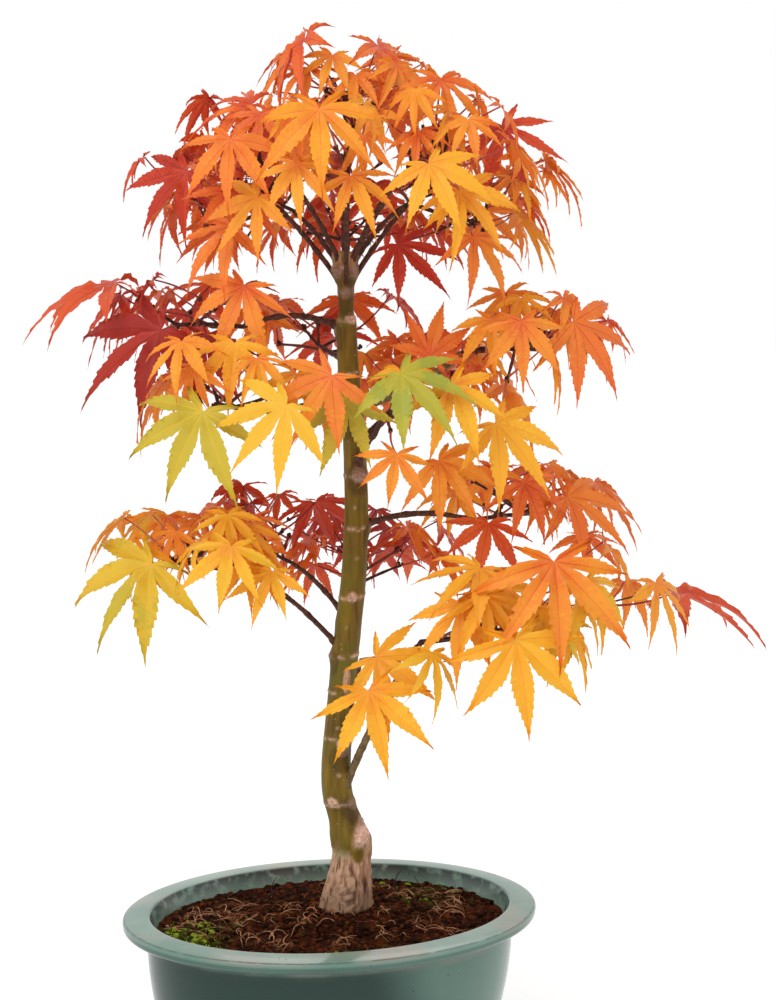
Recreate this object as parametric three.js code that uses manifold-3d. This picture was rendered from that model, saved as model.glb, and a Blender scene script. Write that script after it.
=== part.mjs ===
// A potted Japanese maple trained as a bonsai, in autumn leaf: an oval glazed pot, its
// soil, the trunk, one bough for each mass of foliage, and the masses themselves.
// Millimetres, +Z up. The origin is the middle of the pot's flat underside and X runs
// along the pot's long side. The plant has a frame of its own, turned in the pot, in
// which X runs to the right and Y runs away from whoever looks at the tree's front.
import * as THREE from "three";
import { mergeVertices } from "three/addons/utils/BufferGeometryUtils.js";
import Module from "manifold-3d";

const wasm = await Module();
wasm.setup();

// ---- Driving dimensions -------------------------------------------------------------

const CLEAR = 0.3; // the gap between pieces that meet
const PLANT_TURN = -17; // degrees from the pot's long side to the plant's own X

const POT = {
  length: 216,
  width: 172,
  height: 70,
  sides: 32,
  rimWidth: 13.7, // flat top of the rim, from its outer edge to the mouth
  rimDrop: 1.1, // how far that top falls towards its outer edge
  lip: 5.6, // height of the rim's rounded edge
  overhang: 12.2, // the rim stands out this far past the wall under it
  wall: 6,
  throat: 14, // the mouth has its full width this far under the top
  footInset: 24.5,
  footHeight: 4.5,
  footStep: 3, // the wall starts this far outside the foot
  bow: 2.2, // how strongly the wall bows out
  floor: 9,
  arris: 0.6, // how far edges are rounded off
  roundIn: 2.4, // how far the lip's round underside reaches in
  roundUp: 2.2, // and its round side down from the top
};

const SOIL = { edgeDepth: 8.5, moundDepth: 4, moundRadius: 20, rings: 3 };
const WALL_SHARES = [0.2, 0.5, 0.85]; // the rings of the outer wall, foot to lip

const TRUNK = {
  sides: 10,
  rings: 20,
  step: 10, // for keeping clear of it
  foot: 13.6, // radius at the soil, roots' flare included
  flareHeight: 26,
  flareCurve: 1.4,
  lobes: { count: 5, out: 0.1, height: 12, turn: 1 }, // the roots' ridges at the foot
  low: 8.3, // radius above the flare
  high: 5.1, // radius under the top knob
  kneeHeight: 103,
  kneeSwell: 1.9,
  kneeReach: 7,
  neckHeight: 372, // the stem is thinner above its last big fork
  neckRun: [3, 4], // which it gets from so far under that height to so far over it
  neck: 3.7,
  knobHeight: 396,
  knobRun: 9,
  knob: 6.6,
  top: 405,
};
// The trunk's own bends: height, then how far it stands to the right.
const TRUNK_BENDS = [
  [66, 6.5],
  [100, 9.8],
  [128, 2.4],
  [180, 5],
  [250, 12],
  [300, 12.2],
  [350, 8.6],
  [405, 7.2],
];
const TRUNK_BACK = 10; // the trunk stands this far behind the pot's middle

const LEAF = {
  thick: 1,
  droop: 0.2, // how far a lobe's tip falls under the leaf's plane, for its length
  // angle from the middle lobe and length, as a share of the middle lobe's
  lobes: [
    [-128, 0.42],
    [-86, 0.76],
    [-42, 0.95],
    [0, 1],
    [42, 0.95],
    [86, 0.76],
    [128, 0.42],
  ],
  cleft: 0.24, // how far from the middle the lobes part
  sinus: 0.08, // how far behind the middle the outline runs
  behind: 120, // an outline point further round than this is behind the stalk
};
const STALK = { radius: 0.57, corners: [180, -60, 60], least: 20, spare: 14 };
const STEM = { radius: 1.6, sides: 5, straight: 3, ahead: 0.2, under: 0.1, past: 1.5 };
const TWIG = { radius: 1.15, step: 3, past: 1, first: 0.06, outer: 0.35 };
const BOUGH = { sides: 6, steps: 4, taper: 0.72 };
// Twig ends stand on a dome with this share of the mass's half sizes, from its crown
// down past its middle.
const DOME = { aside: 0.55, up: 0.7, depth: 1.35 };
// The leaves at a twig's end: how far each stands to a side, and how much of that its
// middle lobe follows.
const SWINGS = [-48, 48, 0];
const SWING_FOLLOW = 0.6;
const OUTWARD = 1.2; // the pull away from the trunk on where leaves grow
const CLIMB = { least: 12, spare: 34 }; // degrees that a stalk rises
const SIZE = { least: 0.72, spare: 0.36 }; // leaf for its mass's size
const PLAY = { azimuth: 50, droop: 30, roll: 36 }; // degrees of chance
// Leading leaves: where their twigs leave the stem, and how far a leaf may shift and turn
// where its own place is taken.
const LEADER = { last: 0.93, step: 0.13, stalk: 0.6, shift: 16, swing: 24 };
const LIGHT = { from: 12, to: 40, wide: 0.25 }; // the open space over a leading leaf's face
const ROOM = { mass: 4, leaf: 2.2, limb: 3, twig: 3.2, pot: 2, far: 1.1 }; // clear space
const TRIES = 50;
const SEEDS = { mass: 100003, spray: 1009, leaf: 101, attempt: 7 };
const GOLDEN_ANGLE = 137.508;

// Each row is a bough and the mass of foliage at its tip, in the plant's frame.
// height: where the bough leaves the trunk. heading: 0 right, 90 back, -90 front.
// reach, rise and arch: the bough's run, its climb and the height of its bow.
// thick: its radius at the trunk. ahead, lift: from its tip to the mass's middle.
// half: half the mass along the heading, across it and upwards, to the leaves' middles.
// droop: how steeply the leaves hang. size: length of a leaf's middle lobe.
const MASSES = [
  { name: "front_low", height: 150, heading: -64, reach: 28, rise: 48, arch: -6, thick: 1.2,
    ahead: 42, lift: 10, half: [16, 18, 10], sprays: 2, droop: 62, size: 40 },
  { name: "right_low", height: 122, heading: -36, reach: 50, rise: 86, arch: 5, thick: 2.2,
    ahead: 48, lift: 16, half: [34, 40, 18], sprays: 9, droop: 58, size: 44 },
  { name: "left_low", height: 199, heading: 188, reach: 44, rise: 40, arch: 4, thick: 1.5,
    ahead: 34, lift: 12, half: [44, 34, 13], sprays: 9, droop: 48, size: 38 },
  { name: "back_low", height: 188, heading: 82, reach: 40, rise: 36, arch: 3, thick: 1.7,
    ahead: 34, lift: 14, half: [34, 44, 16], sprays: 10, droop: 45, size: 40 },
  { name: "left_back_low", height: 216, heading: 136, reach: 40, rise: 26, arch: 3, thick: 1.5,
    ahead: 30, lift: 14, half: [30, 34, 13], sprays: 9, droop: 42, size: 38 },
  { name: "right_middle_low", height: 265, heading: 6, reach: 58, rise: 4, arch: 5, thick: 1.7,
    ahead: 26, lift: 4, half: [42, 36, 15], sprays: 9, droop: 42, size: 38 },
  { name: "front_middle", height: 294, heading: -74, reach: 34, rise: 20, arch: 3, thick: 2,
    ahead: 26, lift: 16, half: [26, 34, 20], sprays: 4, droop: 45, size: 38 },
  { name: "right_back_middle", height: 306, heading: 50, reach: 44, rise: 20, arch: 3, thick: 2,
    ahead: 30, lift: 8, half: [32, 36, 17], sprays: 8, droop: 42, size: 40 },
  { name: "left_middle", height: 322, heading: 218, reach: 44, rise: 4, arch: 4, thick: 1.9,
    ahead: 32, lift: 6, half: [36, 34, 15], sprays: 7, droop: 52, size: 39 },
  { name: "right_upper", height: 326, heading: -14, reach: 58, rise: 28, arch: -3, thick: 2.7,
    ahead: 30, lift: 4, half: [40, 40, 15], sprays: 9, droop: 50, size: 39 },
  { name: "back_middle", height: 342, heading: 104, reach: 40, rise: 12, arch: 3, thick: 1.7,
    ahead: 32, lift: 6, half: [32, 44, 15], sprays: 8, droop: 42, size: 40 },
  { name: "left_upper", height: 366, heading: 181, reach: 50, rise: 3, arch: 6, thick: 1.7,
    ahead: 30, lift: 1, half: [42, 36, 11], sprays: 8, droop: 46, size: 40 },
  { name: "crown_left", height: 386, heading: 180, reach: 32, rise: 40, arch: 2, thick: 1.5,
    ahead: 34, lift: -8, half: [32, 36, 24], sprays: 13, droop: 48, size: 35 },
  { name: "crown_left_front", height: 395, heading: 226, reach: 34, rise: 42, arch: 2, thick: 1.4,
    ahead: 24, lift: 14, half: [26, 30, 20], sprays: 10, droop: 52, size: 35 },
  { name: "crown_front", height: 385, heading: 272, reach: 34, rise: 42, arch: 2, thick: 1.3,
    ahead: 24, lift: 16, half: [24, 30, 22], sprays: 10, droop: 58, size: 35 },
  { name: "crown_right_front", height: 395, heading: 318, reach: 34, rise: 44, arch: 2, thick: 1.8,
    ahead: 28, lift: 12, half: [26, 30, 22], sprays: 10, droop: 52, size: 35 },
  { name: "crown_right", height: 386, heading: -2, reach: 30, rise: 42, arch: 2, thick: 1.5,
    ahead: 36, lift: -6, half: [30, 36, 24], sprays: 12, droop: 48, size: 35 },
  { name: "crown_back_right", height: 393, heading: 50, reach: 38, rise: 34, arch: 3, thick: 1.5,
    ahead: 26, lift: 14, half: [26, 30, 20], sprays: 10, droop: 45, size: 36 },
  { name: "crown_back", height: 385, heading: 93, reach: 38, rise: 28, arch: 3, thick: 1.5,
    ahead: 26, lift: 4, half: [30, 34, 24], sprays: 10, droop: 45, size: 36 },
  { name: "crown_back_left", height: 393, heading: 134, reach: 38, rise: 34, arch: 3, thick: 1.5,
    ahead: 26, lift: 14, half: [26, 30, 20], sprays: 10, droop: 45, size: 36 },
  { name: "crown_top", height: 403, heading: 30, reach: 2, rise: 56, arch: 0, thick: 1.7,
    ahead: 0, lift: 22, half: [30, 30, 12], sprays: 12, droop: 45, size: 35 },
];

// Leaves that lead their mass: the outermost and the foremost. at: the leaf's middle.
// turn: the way its middle lobe points, seen from above. droop: how steeply it hangs.
// roll: how far the leaf is turned about that lobe.
const LEADERS = [
  { mass: "crown_top", at: [-16, -16, 505], turn: 202, droop: 50, roll: -6, size: 42 },
  { mass: "crown_top", at: [24, -8, 506], turn: -22, droop: 46, roll: 10, size: 42 },
  { mass: "crown_front", at: [-2, -86, 465], turn: -85, droop: 66, roll: 5, size: 43 },
  { mass: "crown_front", at: [-13, -80, 441], turn: -85, droop: 60, roll: 10, size: 29 },
  { mass: "crown_front", at: [12, -76, 436], turn: -45, droop: 55, roll: 30, size: 30 },
  { mass: "crown_left_front", at: [-44, -64, 454], turn: 255, droop: 65, roll: -5, size: 36 },
  { mass: "crown_left_front", at: [-36, -34, 474], turn: 180, droop: 12, roll: -35, size: 34 },
  { mass: "crown_left_front", at: [-32, -56, 428], turn: 185, droop: 48, roll: -55, size: 34 },
  { mass: "crown_left", at: [-70, -16, 444], turn: 192, droop: 45, roll: -55, size: 40 },
  { mass: "crown_left", at: [-53, -34, 414], turn: 190, droop: 28, roll: -38, size: 38 },
  { mass: "crown_right_front", at: [40, -76, 438], turn: -42, droop: 58, roll: 34, size: 37 },
  { mass: "crown_right_front", at: [62, -70, 430], turn: -15, droop: 47, roll: 52, size: 38 },
  { mass: "crown_right_front", at: [54, -36, 485], turn: -67, droop: 50, roll: 0, size: 40 },
  { mass: "crown_right", at: [85, -10, 467], turn: -20, droop: 60, roll: 58, size: 42 },
  { mass: "crown_right", at: [70, -34, 411], turn: -32, droop: 45, roll: 24, size: 36 },
  { mass: "crown_right", at: [36, -14, 404], turn: -20, droop: 48, roll: 50, size: 36 },
  { mass: "left_upper", at: [-108, -4, 390], turn: 184, droop: 11, roll: -12, size: 54 },
  { mass: "left_upper", at: [-81, -34, 366], turn: 184, droop: 32, roll: -52, size: 54 },
  { mass: "left_upper", at: [-40, -42, 387], turn: 216, droop: 57, roll: -40, size: 38 },
  { mass: "left_upper", at: [-66, -6, 370], turn: 243, droop: 74, roll: -10, size: 40 },
  { mass: "left_middle", at: [-57, -74, 328], turn: 218, droop: 56, roll: -40, size: 48 },
  { mass: "left_middle", at: [-24, -82, 325], turn: 196, droop: 43, roll: -55, size: 42 },
  { mass: "left_middle", at: [3, -78, 345], turn: 200, droop: 53, roll: -55, size: 40 },
  { mass: "front_middle", at: [35, -88, 346], turn: -34, droop: 37, roll: 37, size: 42 },
  { mass: "front_middle", at: [33, -86, 309], turn: -135, droop: 76, roll: -44, size: 27 },
  { mass: "front_middle", at: [12, -72, 326], turn: -135, droop: 60, roll: -46, size: 38 },
  { mass: "front_middle", at: [57, -74, 335], turn: -35, droop: 53, roll: 34, size: 38 },
  { mass: "right_upper", at: [92, -52, 370], turn: -71, droop: 75, roll: 13, size: 33 },
  { mass: "right_upper", at: [119, -34, 370], turn: -10, droop: 48, roll: 50, size: 44 },
  { mass: "right_upper", at: [80, -58, 322], turn: -25, droop: 42, roll: 40, size: 44 },
  { mass: "right_upper", at: [49, -24, 353], turn: 23, droop: -74, roll: 72, size: 32 },
  { mass: "right_middle_low", at: [53, -54, 304], turn: -25, droop: 45, roll: 45, size: 36 },
  { mass: "right_middle_low", at: [96, -26, 291], turn: -45, droop: 51, roll: 24, size: 32 },
  { mass: "right_middle_low", at: [119, -12, 283], turn: -17, droop: 31, roll: 35, size: 42 },
  { mass: "right_middle_low", at: [79, -34, 278], turn: 244, droop: 37, roll: -16, size: 32 },
  { mass: "right_low", at: [105, -92, 260], turn: -71, droop: 72, roll: 10, size: 56 },
  { mass: "right_low", at: [81, -100, 227], turn: -40, droop: 67, roll: 48, size: 48 },
  { mass: "right_low", at: [173, -8, 234], turn: -2, droop: 9, roll: 6, size: 55 },
  { mass: "right_low", at: [72, -76, 255], turn: 225, droop: 22, roll: -20, size: 38 },
  { mass: "front_low", at: [20, -86, 199], turn: -55, droop: 65, roll: 37, size: 42 },
  { mass: "front_low", at: [24, -68, 220], turn: -34, droop: 35, roll: 46, size: 40 },
  { mass: "front_low", at: [44, -76, 206], turn: -24, droop: 47, roll: 42, size: 42 },
  { mass: "left_low", at: [-46, -56, 263], turn: 243, droop: 63, roll: -20, size: 35 },
  { mass: "left_low", at: [-88, -26, 251], turn: 200, droop: 46, roll: -44, size: 53 },
  { mass: "left_low", at: [-27, -48, 250], turn: 229, droop: 55, roll: -30, size: 28 },
];

const COLOURS = {
  glaze: "#5f8f83",
  soil: "#4a2a1c",
  bark: "#6d6a2e",
  bough: "#5c4030",
  leaves: ["#f5a623", "#ec7a1e", "#d8431f", "#b3261e", "#f4bf2c", "#a9ad35"],
};

// ---- Numbers and vectors -------------------------------------------------------------

const radians = THREE.MathUtils.degToRad;
const vector = (x, y, z) => new THREE.Vector3(x, y, z);
const UP = vector(0, 0, 1);

// A unit vector that heads along azimuth and climbs by elevation, both in degrees.
function direction(azimuth, elevation) {
  const flat = Math.cos(radians(elevation));
  return vector(
    flat * Math.cos(radians(azimuth)),
    flat * Math.sin(radians(azimuth)),
    Math.sin(radians(elevation)),
  );
}

// The same row of numbers between 0 and 1 for the same seed.
function seeded(seed) {
  let state = seed >>> 0;
  return () => {
    state = (state + 0x6d2b79f5) >>> 0;
    let mixed = Math.imul(state ^ (state >>> 15), state | 1);
    mixed = (mixed ^ (mixed + Math.imul(mixed ^ (mixed >>> 7), mixed | 61))) >>> 0;
    return ((mixed ^ (mixed >>> 14)) >>> 0) / 4294967296;
  };
}

function smooth(from, to, value) {
  const share = Math.min(1, Math.max(0, (value - from) / (to - from)));
  return share * share * (3 - 2 * share);
}

// The least distance between two straight pieces, each { a, b }.
function apart(one, two) {
  const along = one.b.clone().sub(one.a);
  const across = two.b.clone().sub(two.a);
  const between = one.a.clone().sub(two.a);
  const aa = along.dot(along);
  const cc = across.dot(across);
  const ac = along.dot(across);
  const ab = along.dot(between);
  const cb = across.dot(between);
  const limit = (value) => Math.min(1, Math.max(0, value));
  const spread = aa * cc - ac * ac;
  let s = spread > 1e-9 ? limit((ac * cb - ab * cc) / spread) : 0;
  let t = (ac * s + cb) / cc;
  if (t < 0) {
    t = 0;
    s = limit(-ab / aa);
  } else if (t > 1) {
    t = 1;
    s = limit((ac - ab) / aa);
  }
  return between.addScaledVector(along, s).addScaledVector(across, -t).length();
}

// ---- Solids --------------------------------------------------------------------------

// A closed three.js geometry as a solid that can be joined and cut.
function solidOf(geometry) {
  const bare = geometry.clone();
  bare.deleteAttribute("normal");
  bare.deleteAttribute("uv");
  const merged = mergeVertices(bare, 1e-5);
  return new wasm.Manifold(
    new wasm.Mesh({
      numProp: 3,
      vertProperties: new Float32Array(merged.attributes.position.array),
      triVerts: new Uint32Array(merged.index.array),
    }),
  );
}

function geometryOf(solid) {
  const mesh = solid.getMesh();
  const geometry = new THREE.BufferGeometry();
  geometry.setAttribute("position", new THREE.BufferAttribute(mesh.vertProperties, 3));
  geometry.setIndex(new THREE.BufferAttribute(mesh.triVerts, 1));
  geometry.computeVertexNormals();
  return geometry;
}

// A closed solid through rings with equal counts of points, anticlockwise seen from the
// last ring. Each end is a fan, from the ring's middle where it has over three points.
function loft(rings) {
  const count = rings[0].length;
  const points = rings.flat();
  const faces = [];
  for (let ring = 0; ring < rings.length - 1; ring++)
    for (let i = 0; i < count; i++) {
      const next = (i + 1) % count;
      const low = ring * count;
      const high = low + count;
      faces.push(low + i, low + next, high + next, low + i, high + next, high + i);
    }
  const last = (rings.length - 1) * count;
  if (count === 3) {
    faces.push(0, 2, 1, last, last + 1, last + 2);
  } else {
    const middle = (ring) =>
      ring.reduce((sum, point) => sum.add(point), vector(0, 0, 0)).divideScalar(count);
    const start = points.push(middle(rings[0])) - 1;
    const end = points.push(middle(rings.at(-1))) - 1;
    for (let i = 0; i < count; i++) {
      const next = (i + 1) % count;
      faces.push(start, next, i, end, last + i, last + next);
    }
  }
  const geometry = new THREE.BufferGeometry().setFromPoints(points);
  geometry.setIndex(faces);
  geometry.computeVertexNormals();
  return geometry;
}

// A round limb along points, with a radius for each.
function limb(points, radii, sides) {
  let across = null;
  const rings = points.map((point, i) => {
    const before = points[Math.max(0, i - 1)];
    const after = points[Math.min(points.length - 1, i + 1)];
    const along = after.clone().sub(before).normalize();
    if (!across) across = Math.abs(along.z) < 0.9 ? UP.clone() : vector(1, 0, 0);
    across = across.clone().addScaledVector(along, -across.dot(along)).normalize();
    const third = along.clone().cross(across);
    return Array.from({ length: sides }, (_, k) => {
      const angle = (2 * Math.PI * k) / sides;
      return point
        .clone()
        .addScaledVector(across, radii[i] * Math.cos(angle))
        .addScaledVector(third, radii[i] * Math.sin(angle));
    });
  });
  return loft(rings);
}

// ---- Pot and soil ----------------------------------------------------------------------

// A level oval ring, set in by inset from the pot's greatest outline.
function ovalRing(inset, height) {
  return Array.from({ length: POT.sides }, (_, k) => {
    const angle = (2 * Math.PI * k) / POT.sides;
    return vector(
      (POT.length / 2 - inset) * Math.cos(angle),
      (POT.width / 2 - inset) * Math.sin(angle),
      height,
    );
  });
}

// How far the pot's outer wall stands in from the rim's edge, at a height.
function wallInset(height) {
  const under = POT.height - POT.rimDrop - POT.lip;
  const share = (under - height) / (under - POT.footHeight);
  return POT.overhang + (POT.footInset - POT.footStep - POT.overhang) * share ** POT.bow;
}

function makePot() {
  const top = POT.height;
  const lipTop = top - POT.rimDrop;
  const lipFoot = lipTop - POT.lip;
  const profile = [
    [POT.footInset, 0],
    [POT.footInset - POT.arris, POT.arris],
    [POT.footInset - POT.arris, POT.footHeight - POT.arris],
    [wallInset(POT.footHeight) + POT.arris, POT.footHeight],
  ];
  for (const share of WALL_SHARES) {
    const height = POT.footHeight + (lipFoot - POT.footHeight) * share;
    profile.push([wallInset(height), height]);
  }
  profile.push(
    [POT.overhang - POT.roundIn, lipFoot + POT.arris],
    [POT.roundIn, lipFoot],
    [POT.arris, lipFoot + POT.arris],
    [0, lipTop - POT.roundUp],
    [POT.arris, lipTop],
    [POT.rimWidth - POT.arris, top],
    [POT.rimWidth, top - POT.arris],
    [POT.overhang + POT.wall, top - POT.throat],
    [wallInset(POT.floor) + POT.wall, POT.floor],
  );
  return loft(profile.map(([inset, height]) => ovalRing(inset, height)));
}

// The soil fills the pot's inside and rises to a low flat mound under the trunk.
function makeSoil() {
  const edge = POT.height - SOIL.edgeDepth;
  const crest = POT.height - SOIL.moundDepth;
  const mouth = POT.rimWidth;
  const deep = POT.overhang + POT.wall;
  const edgeInset = mouth + ((deep - mouth) * SOIL.edgeDepth) / POT.throat;
  const rings = [
    ovalRing(wallInset(POT.floor) + POT.wall + CLEAR, POT.floor + CLEAR),
    ovalRing(deep + CLEAR, POT.height - POT.throat),
    ovalRing(edgeInset + CLEAR, edge),
  ];
  const outer = rings.at(-1);
  const crown = Array.from({ length: POT.sides }, (_, k) => {
    const angle = (2 * Math.PI * k) / POT.sides;
    return vector(SOIL.moundRadius * Math.cos(angle), SOIL.moundRadius * Math.sin(angle), crest)
      .add(potPlace(trunkMiddle(crest)));
  });
  for (let ring = 1; ring < SOIL.rings; ring++)
    rings.push(
      outer.map((point, k) => {
        const share = ring / SOIL.rings;
        const place = point.clone().lerp(crown[k], share);
        place.z = edge + (crest - edge) * smooth(0, 1, share);
        return place;
      }),
    );
  rings.push(crown);
  return loft(rings);
}

// A place over the pot, level with the underside, from the plant's frame.
function potPlace(point) {
  return vector(point.x, point.y, 0).applyAxisAngle(UP, radians(PLANT_TURN));
}

// ---- Trunk and boughs --------------------------------------------------------------------

// How far right the trunk stands at a height: a smooth line through its bends.
const trunkLine = new THREE.CatmullRomCurve3(
  TRUNK_BENDS.map(([height, right]) => vector(right, TRUNK_BACK, height)),
);

function trunkMiddle(height) {
  let low = 0;
  let high = 1;
  for (let step = 0; step < 40; step++) {
    const half = (low + high) / 2;
    if (trunkLine.getPoint(half).z < height) low = half;
    else high = half;
  }
  return trunkLine.getPoint(low).setZ(height);
}

function trunkRadius(height) {
  const foot = POT.height - SOIL.moundDepth;
  const climb = (height - foot) / (TRUNK.neckHeight - foot);
  let radius = TRUNK.low + (TRUNK.high - TRUNK.low) * climb;
  const flare = (height - foot) / TRUNK.flareHeight;
  radius += (TRUNK.foot - TRUNK.low) * Math.exp(-(flare ** TRUNK.flareCurve));
  const knee = (height - TRUNK.kneeHeight) / TRUNK.kneeReach;
  radius += TRUNK.kneeSwell * Math.exp(-(knee ** 2));
  const [under, over] = TRUNK.neckRun;
  const thinned = smooth(TRUNK.neckHeight - under, TRUNK.neckHeight + over, height);
  radius += (TRUNK.neck - radius) * thinned;
  const knob = smooth(TRUNK.knobHeight - TRUNK.knobRun, TRUNK.knobHeight, height);
  return radius + (TRUNK.knob - radius) * knob;
}

// The trunk, thicker all round by extra.
function makeTrunk(extra = 0) {
  const foot = POT.height - SOIL.moundDepth + CLEAR;
  const rings = [];
  for (let ring = 0; ring <= TRUNK.rings; ring++) {
    const height = foot + ((TRUNK.top - foot) * ring) / TRUNK.rings;
    const middle = trunkMiddle(height);
    const radius = trunkRadius(height) + extra;
    const lobes = TRUNK.lobes.out * Math.exp(-(height - foot) / TRUNK.lobes.height);
    rings.push(
      Array.from({ length: TRUNK.sides }, (_, k) => {
        const angle = (2 * Math.PI * k) / TRUNK.sides;
        const ridge = Math.cos(TRUNK.lobes.count * angle + TRUNK.lobes.turn);
        const wide = radius * (1 + lobes * ridge);
        return vector(
          middle.x + wide * Math.cos(angle),
          middle.y + wide * Math.sin(angle),
          height,
        );
      }),
    );
  }
  return loft(rings);
}

// A bough's middle line, from inside the trunk to its tip.
function boughPoints(row, steps = BOUGH.steps) {
  const start = trunkMiddle(row.height);
  const ahead = direction(row.heading, 0);
  return Array.from({ length: steps + 1 }, (_, k) => {
    const share = k / steps;
    const climb = row.rise * share + row.arch * 4 * share * (1 - share);
    return start.clone().addScaledVector(ahead, row.reach * share).addScaledVector(UP, climb);
  });
}

const tipRadius = (row) => row.thick * BOUGH.taper;

function makeBough(row, thickTrunk) {
  const points = boughPoints(row);
  const radii = points.map((_, k) => {
    const share = k / (points.length - 1);
    return row.thick + (tipRadius(row) - row.thick) * share;
  });
  return geometryOf(greatest(solidOf(limb(points, radii, BOUGH.sides)).subtract(thickTrunk)));
}

// ---- Foliage -------------------------------------------------------------------------------

// A mass's twigs: the stem that goes on from its bough, and a twig to each spray.
function layTwigs(row) {
  const points = boughPoints(row);
  const tip = points.at(-1);
  const onward = tip.clone().sub(points.at(-2)).normalize();
  const from = tip.clone().addScaledVector(onward, CLEAR);
  const ahead = direction(row.heading, 0);
  const side = UP.clone().cross(ahead);
  const middle = tip.clone().addScaledVector(ahead, row.ahead).addScaledVector(UP, row.lift);
  const root = from.clone().addScaledVector(onward, STEM.straight);
  const stemEnd = middle
    .clone()
    .addScaledVector(ahead, STEM.ahead * row.half[0])
    .addScaledVector(UP, -STEM.under * row.half[2]);
  const start = { a: from, b: root };
  const stem = { a: root, b: stemEnd };
  const sprays = [];
  for (let k = 0; k < row.sprays; k++) {
    const climb = 1 - ((k + 0.5) / row.sprays) * DOME.depth;
    const flat = Math.sqrt(Math.max(0, 1 - climb * climb));
    const around = radians(k * GOLDEN_ANGLE);
    const node = middle
      .clone()
      .addScaledVector(ahead, DOME.aside * row.half[0] * flat * Math.cos(around))
      .addScaledVector(side, DOME.aside * row.half[1] * flat * Math.sin(around))
      .addScaledVector(UP, DOME.up * row.half[2] * climb);
    const share = TWIG.first + ((1 - TWIG.first) * (row.sprays - 0.5 - k)) / row.sprays;
    sprays.push({ a: root.clone().lerp(stemEnd, share), b: node, leader: null });
  }
  LEADERS.filter((one) => one.mass === row.name).forEach((leader, k) => {
    const hub = vector(...leader.at);
    const a = root.clone().lerp(stemEnd, LEADER.last - LEADER.step * k);
    const inward = a.clone().sub(hub);
    const stalk = Math.min(LEADER.stalk * inward.length(), STALK.least + STALK.spare);
    sprays.push({ a, b: hub.addScaledVector(inward.normalize(), stalk), leader });
  });
  return { row, start, stem, sprays };
}

// A point of a leaf, from its middle: at an angle to its middle lobe and a length.
function leafPoint(leaf, angle, length) {
  const turned = radians(angle);
  const fall = LEAF.droop * (length / leaf.size) ** 2 * leaf.size;
  return leaf.hub
    .clone()
    .addScaledVector(leaf.lobe, length * Math.cos(turned))
    .addScaledVector(leaf.side, length * Math.sin(turned))
    .addScaledVector(leaf.normal, -fall);
}

// A leaf's outline by angle and length: the lobes' tips and the clefts between them.
function leafRim(size) {
  const rim = [{ angle: -180, length: LEAF.sinus * size }];
  LEAF.lobes.forEach(([angle, share], k) => {
    rim.push({ angle, length: share * size });
    const next = LEAF.lobes[k + 1];
    if (next) rim.push({ angle: (angle + next[0]) / 2, length: LEAF.cleft * size });
  });
  return rim;
}

function poseLeaf(node, hub, turn, droop, roll, size) {
  const out = direction(turn, 0);
  const lobe = direction(turn, -droop);
  const upright = out.clone().multiplyScalar(Math.sin(radians(droop)));
  const flat = upright.addScaledVector(UP, Math.cos(radians(droop)));
  const normal = flat.applyAxisAngle(lobe, radians(roll));
  const leaf = { node, hub, lobe, normal, side: normal.clone().cross(lobe), size };
  leaf.pieces = leafRim(size).map(({ angle, length }) => ({
    a: hub,
    b: leafPoint(leaf, angle, length),
  }));
  leaf.pieces.push({ a: node, b: hub });
  return leaf;
}

// One leaf of a spray, at one of its tries.
function tryLeaf(mass, massIndex, sprayIndex, leafIndex, attempt) {
  const { row } = mass;
  const spray = mass.sprays[sprayIndex];
  const place = massIndex * SEEDS.mass + sprayIndex * SEEDS.spray + leafIndex * SEEDS.leaf;
  const draw = seeded(place + attempt * SEEDS.attempt + 1);
  const node = spray.b.clone().lerp(spray.a, (leafIndex * TWIG.step) / spray.b.distanceTo(spray.a));
  if (spray.leader && leafIndex === 0) {
    const { at, turn, droop, roll, size } = spray.leader;
    const play = (most) => (attempt ? (draw() - 0.5) * most : 0);
    const shift = at.map((place) => place + play(LEADER.shift));
    const swing = turn + play(LEADER.swing);
    return poseLeaf(node, vector(...shift), swing, droop + play(LEADER.swing), roll, size);
  }
  const along = node.clone().sub(spray.a).setZ(0).normalize();
  const outward = node.clone().sub(trunkMiddle(Math.min(node.z, TRUNK.top))).setZ(0).normalize();
  const blend = along.addScaledVector(outward, OUTWARD);
  const base = THREE.MathUtils.radToDeg(Math.atan2(blend.y, blend.x));
  const swing = SWINGS[leafIndex];
  const azimuth = base + swing + (draw() - 0.5) * PLAY.azimuth;
  const climb = CLIMB.least + draw() * CLIMB.spare;
  const length = STALK.least + draw() * STALK.spare;
  const hub = node.clone().addScaledVector(direction(azimuth, climb), length);
  const turn = base + swing * SWING_FOLLOW + (draw() - 0.5) * PLAY.azimuth;
  const droop = row.droop + (draw() - 0.5) * PLAY.droop;
  const roll = (draw() - 0.5) * PLAY.roll;
  const size = row.size * (SIZE.least + draw() * SIZE.spare);
  return poseLeaf(node, hub, turn, droop, roll, size);
}

const twigPieces = (mass) => [mass.start, mass.stem, ...mass.sprays];

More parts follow.
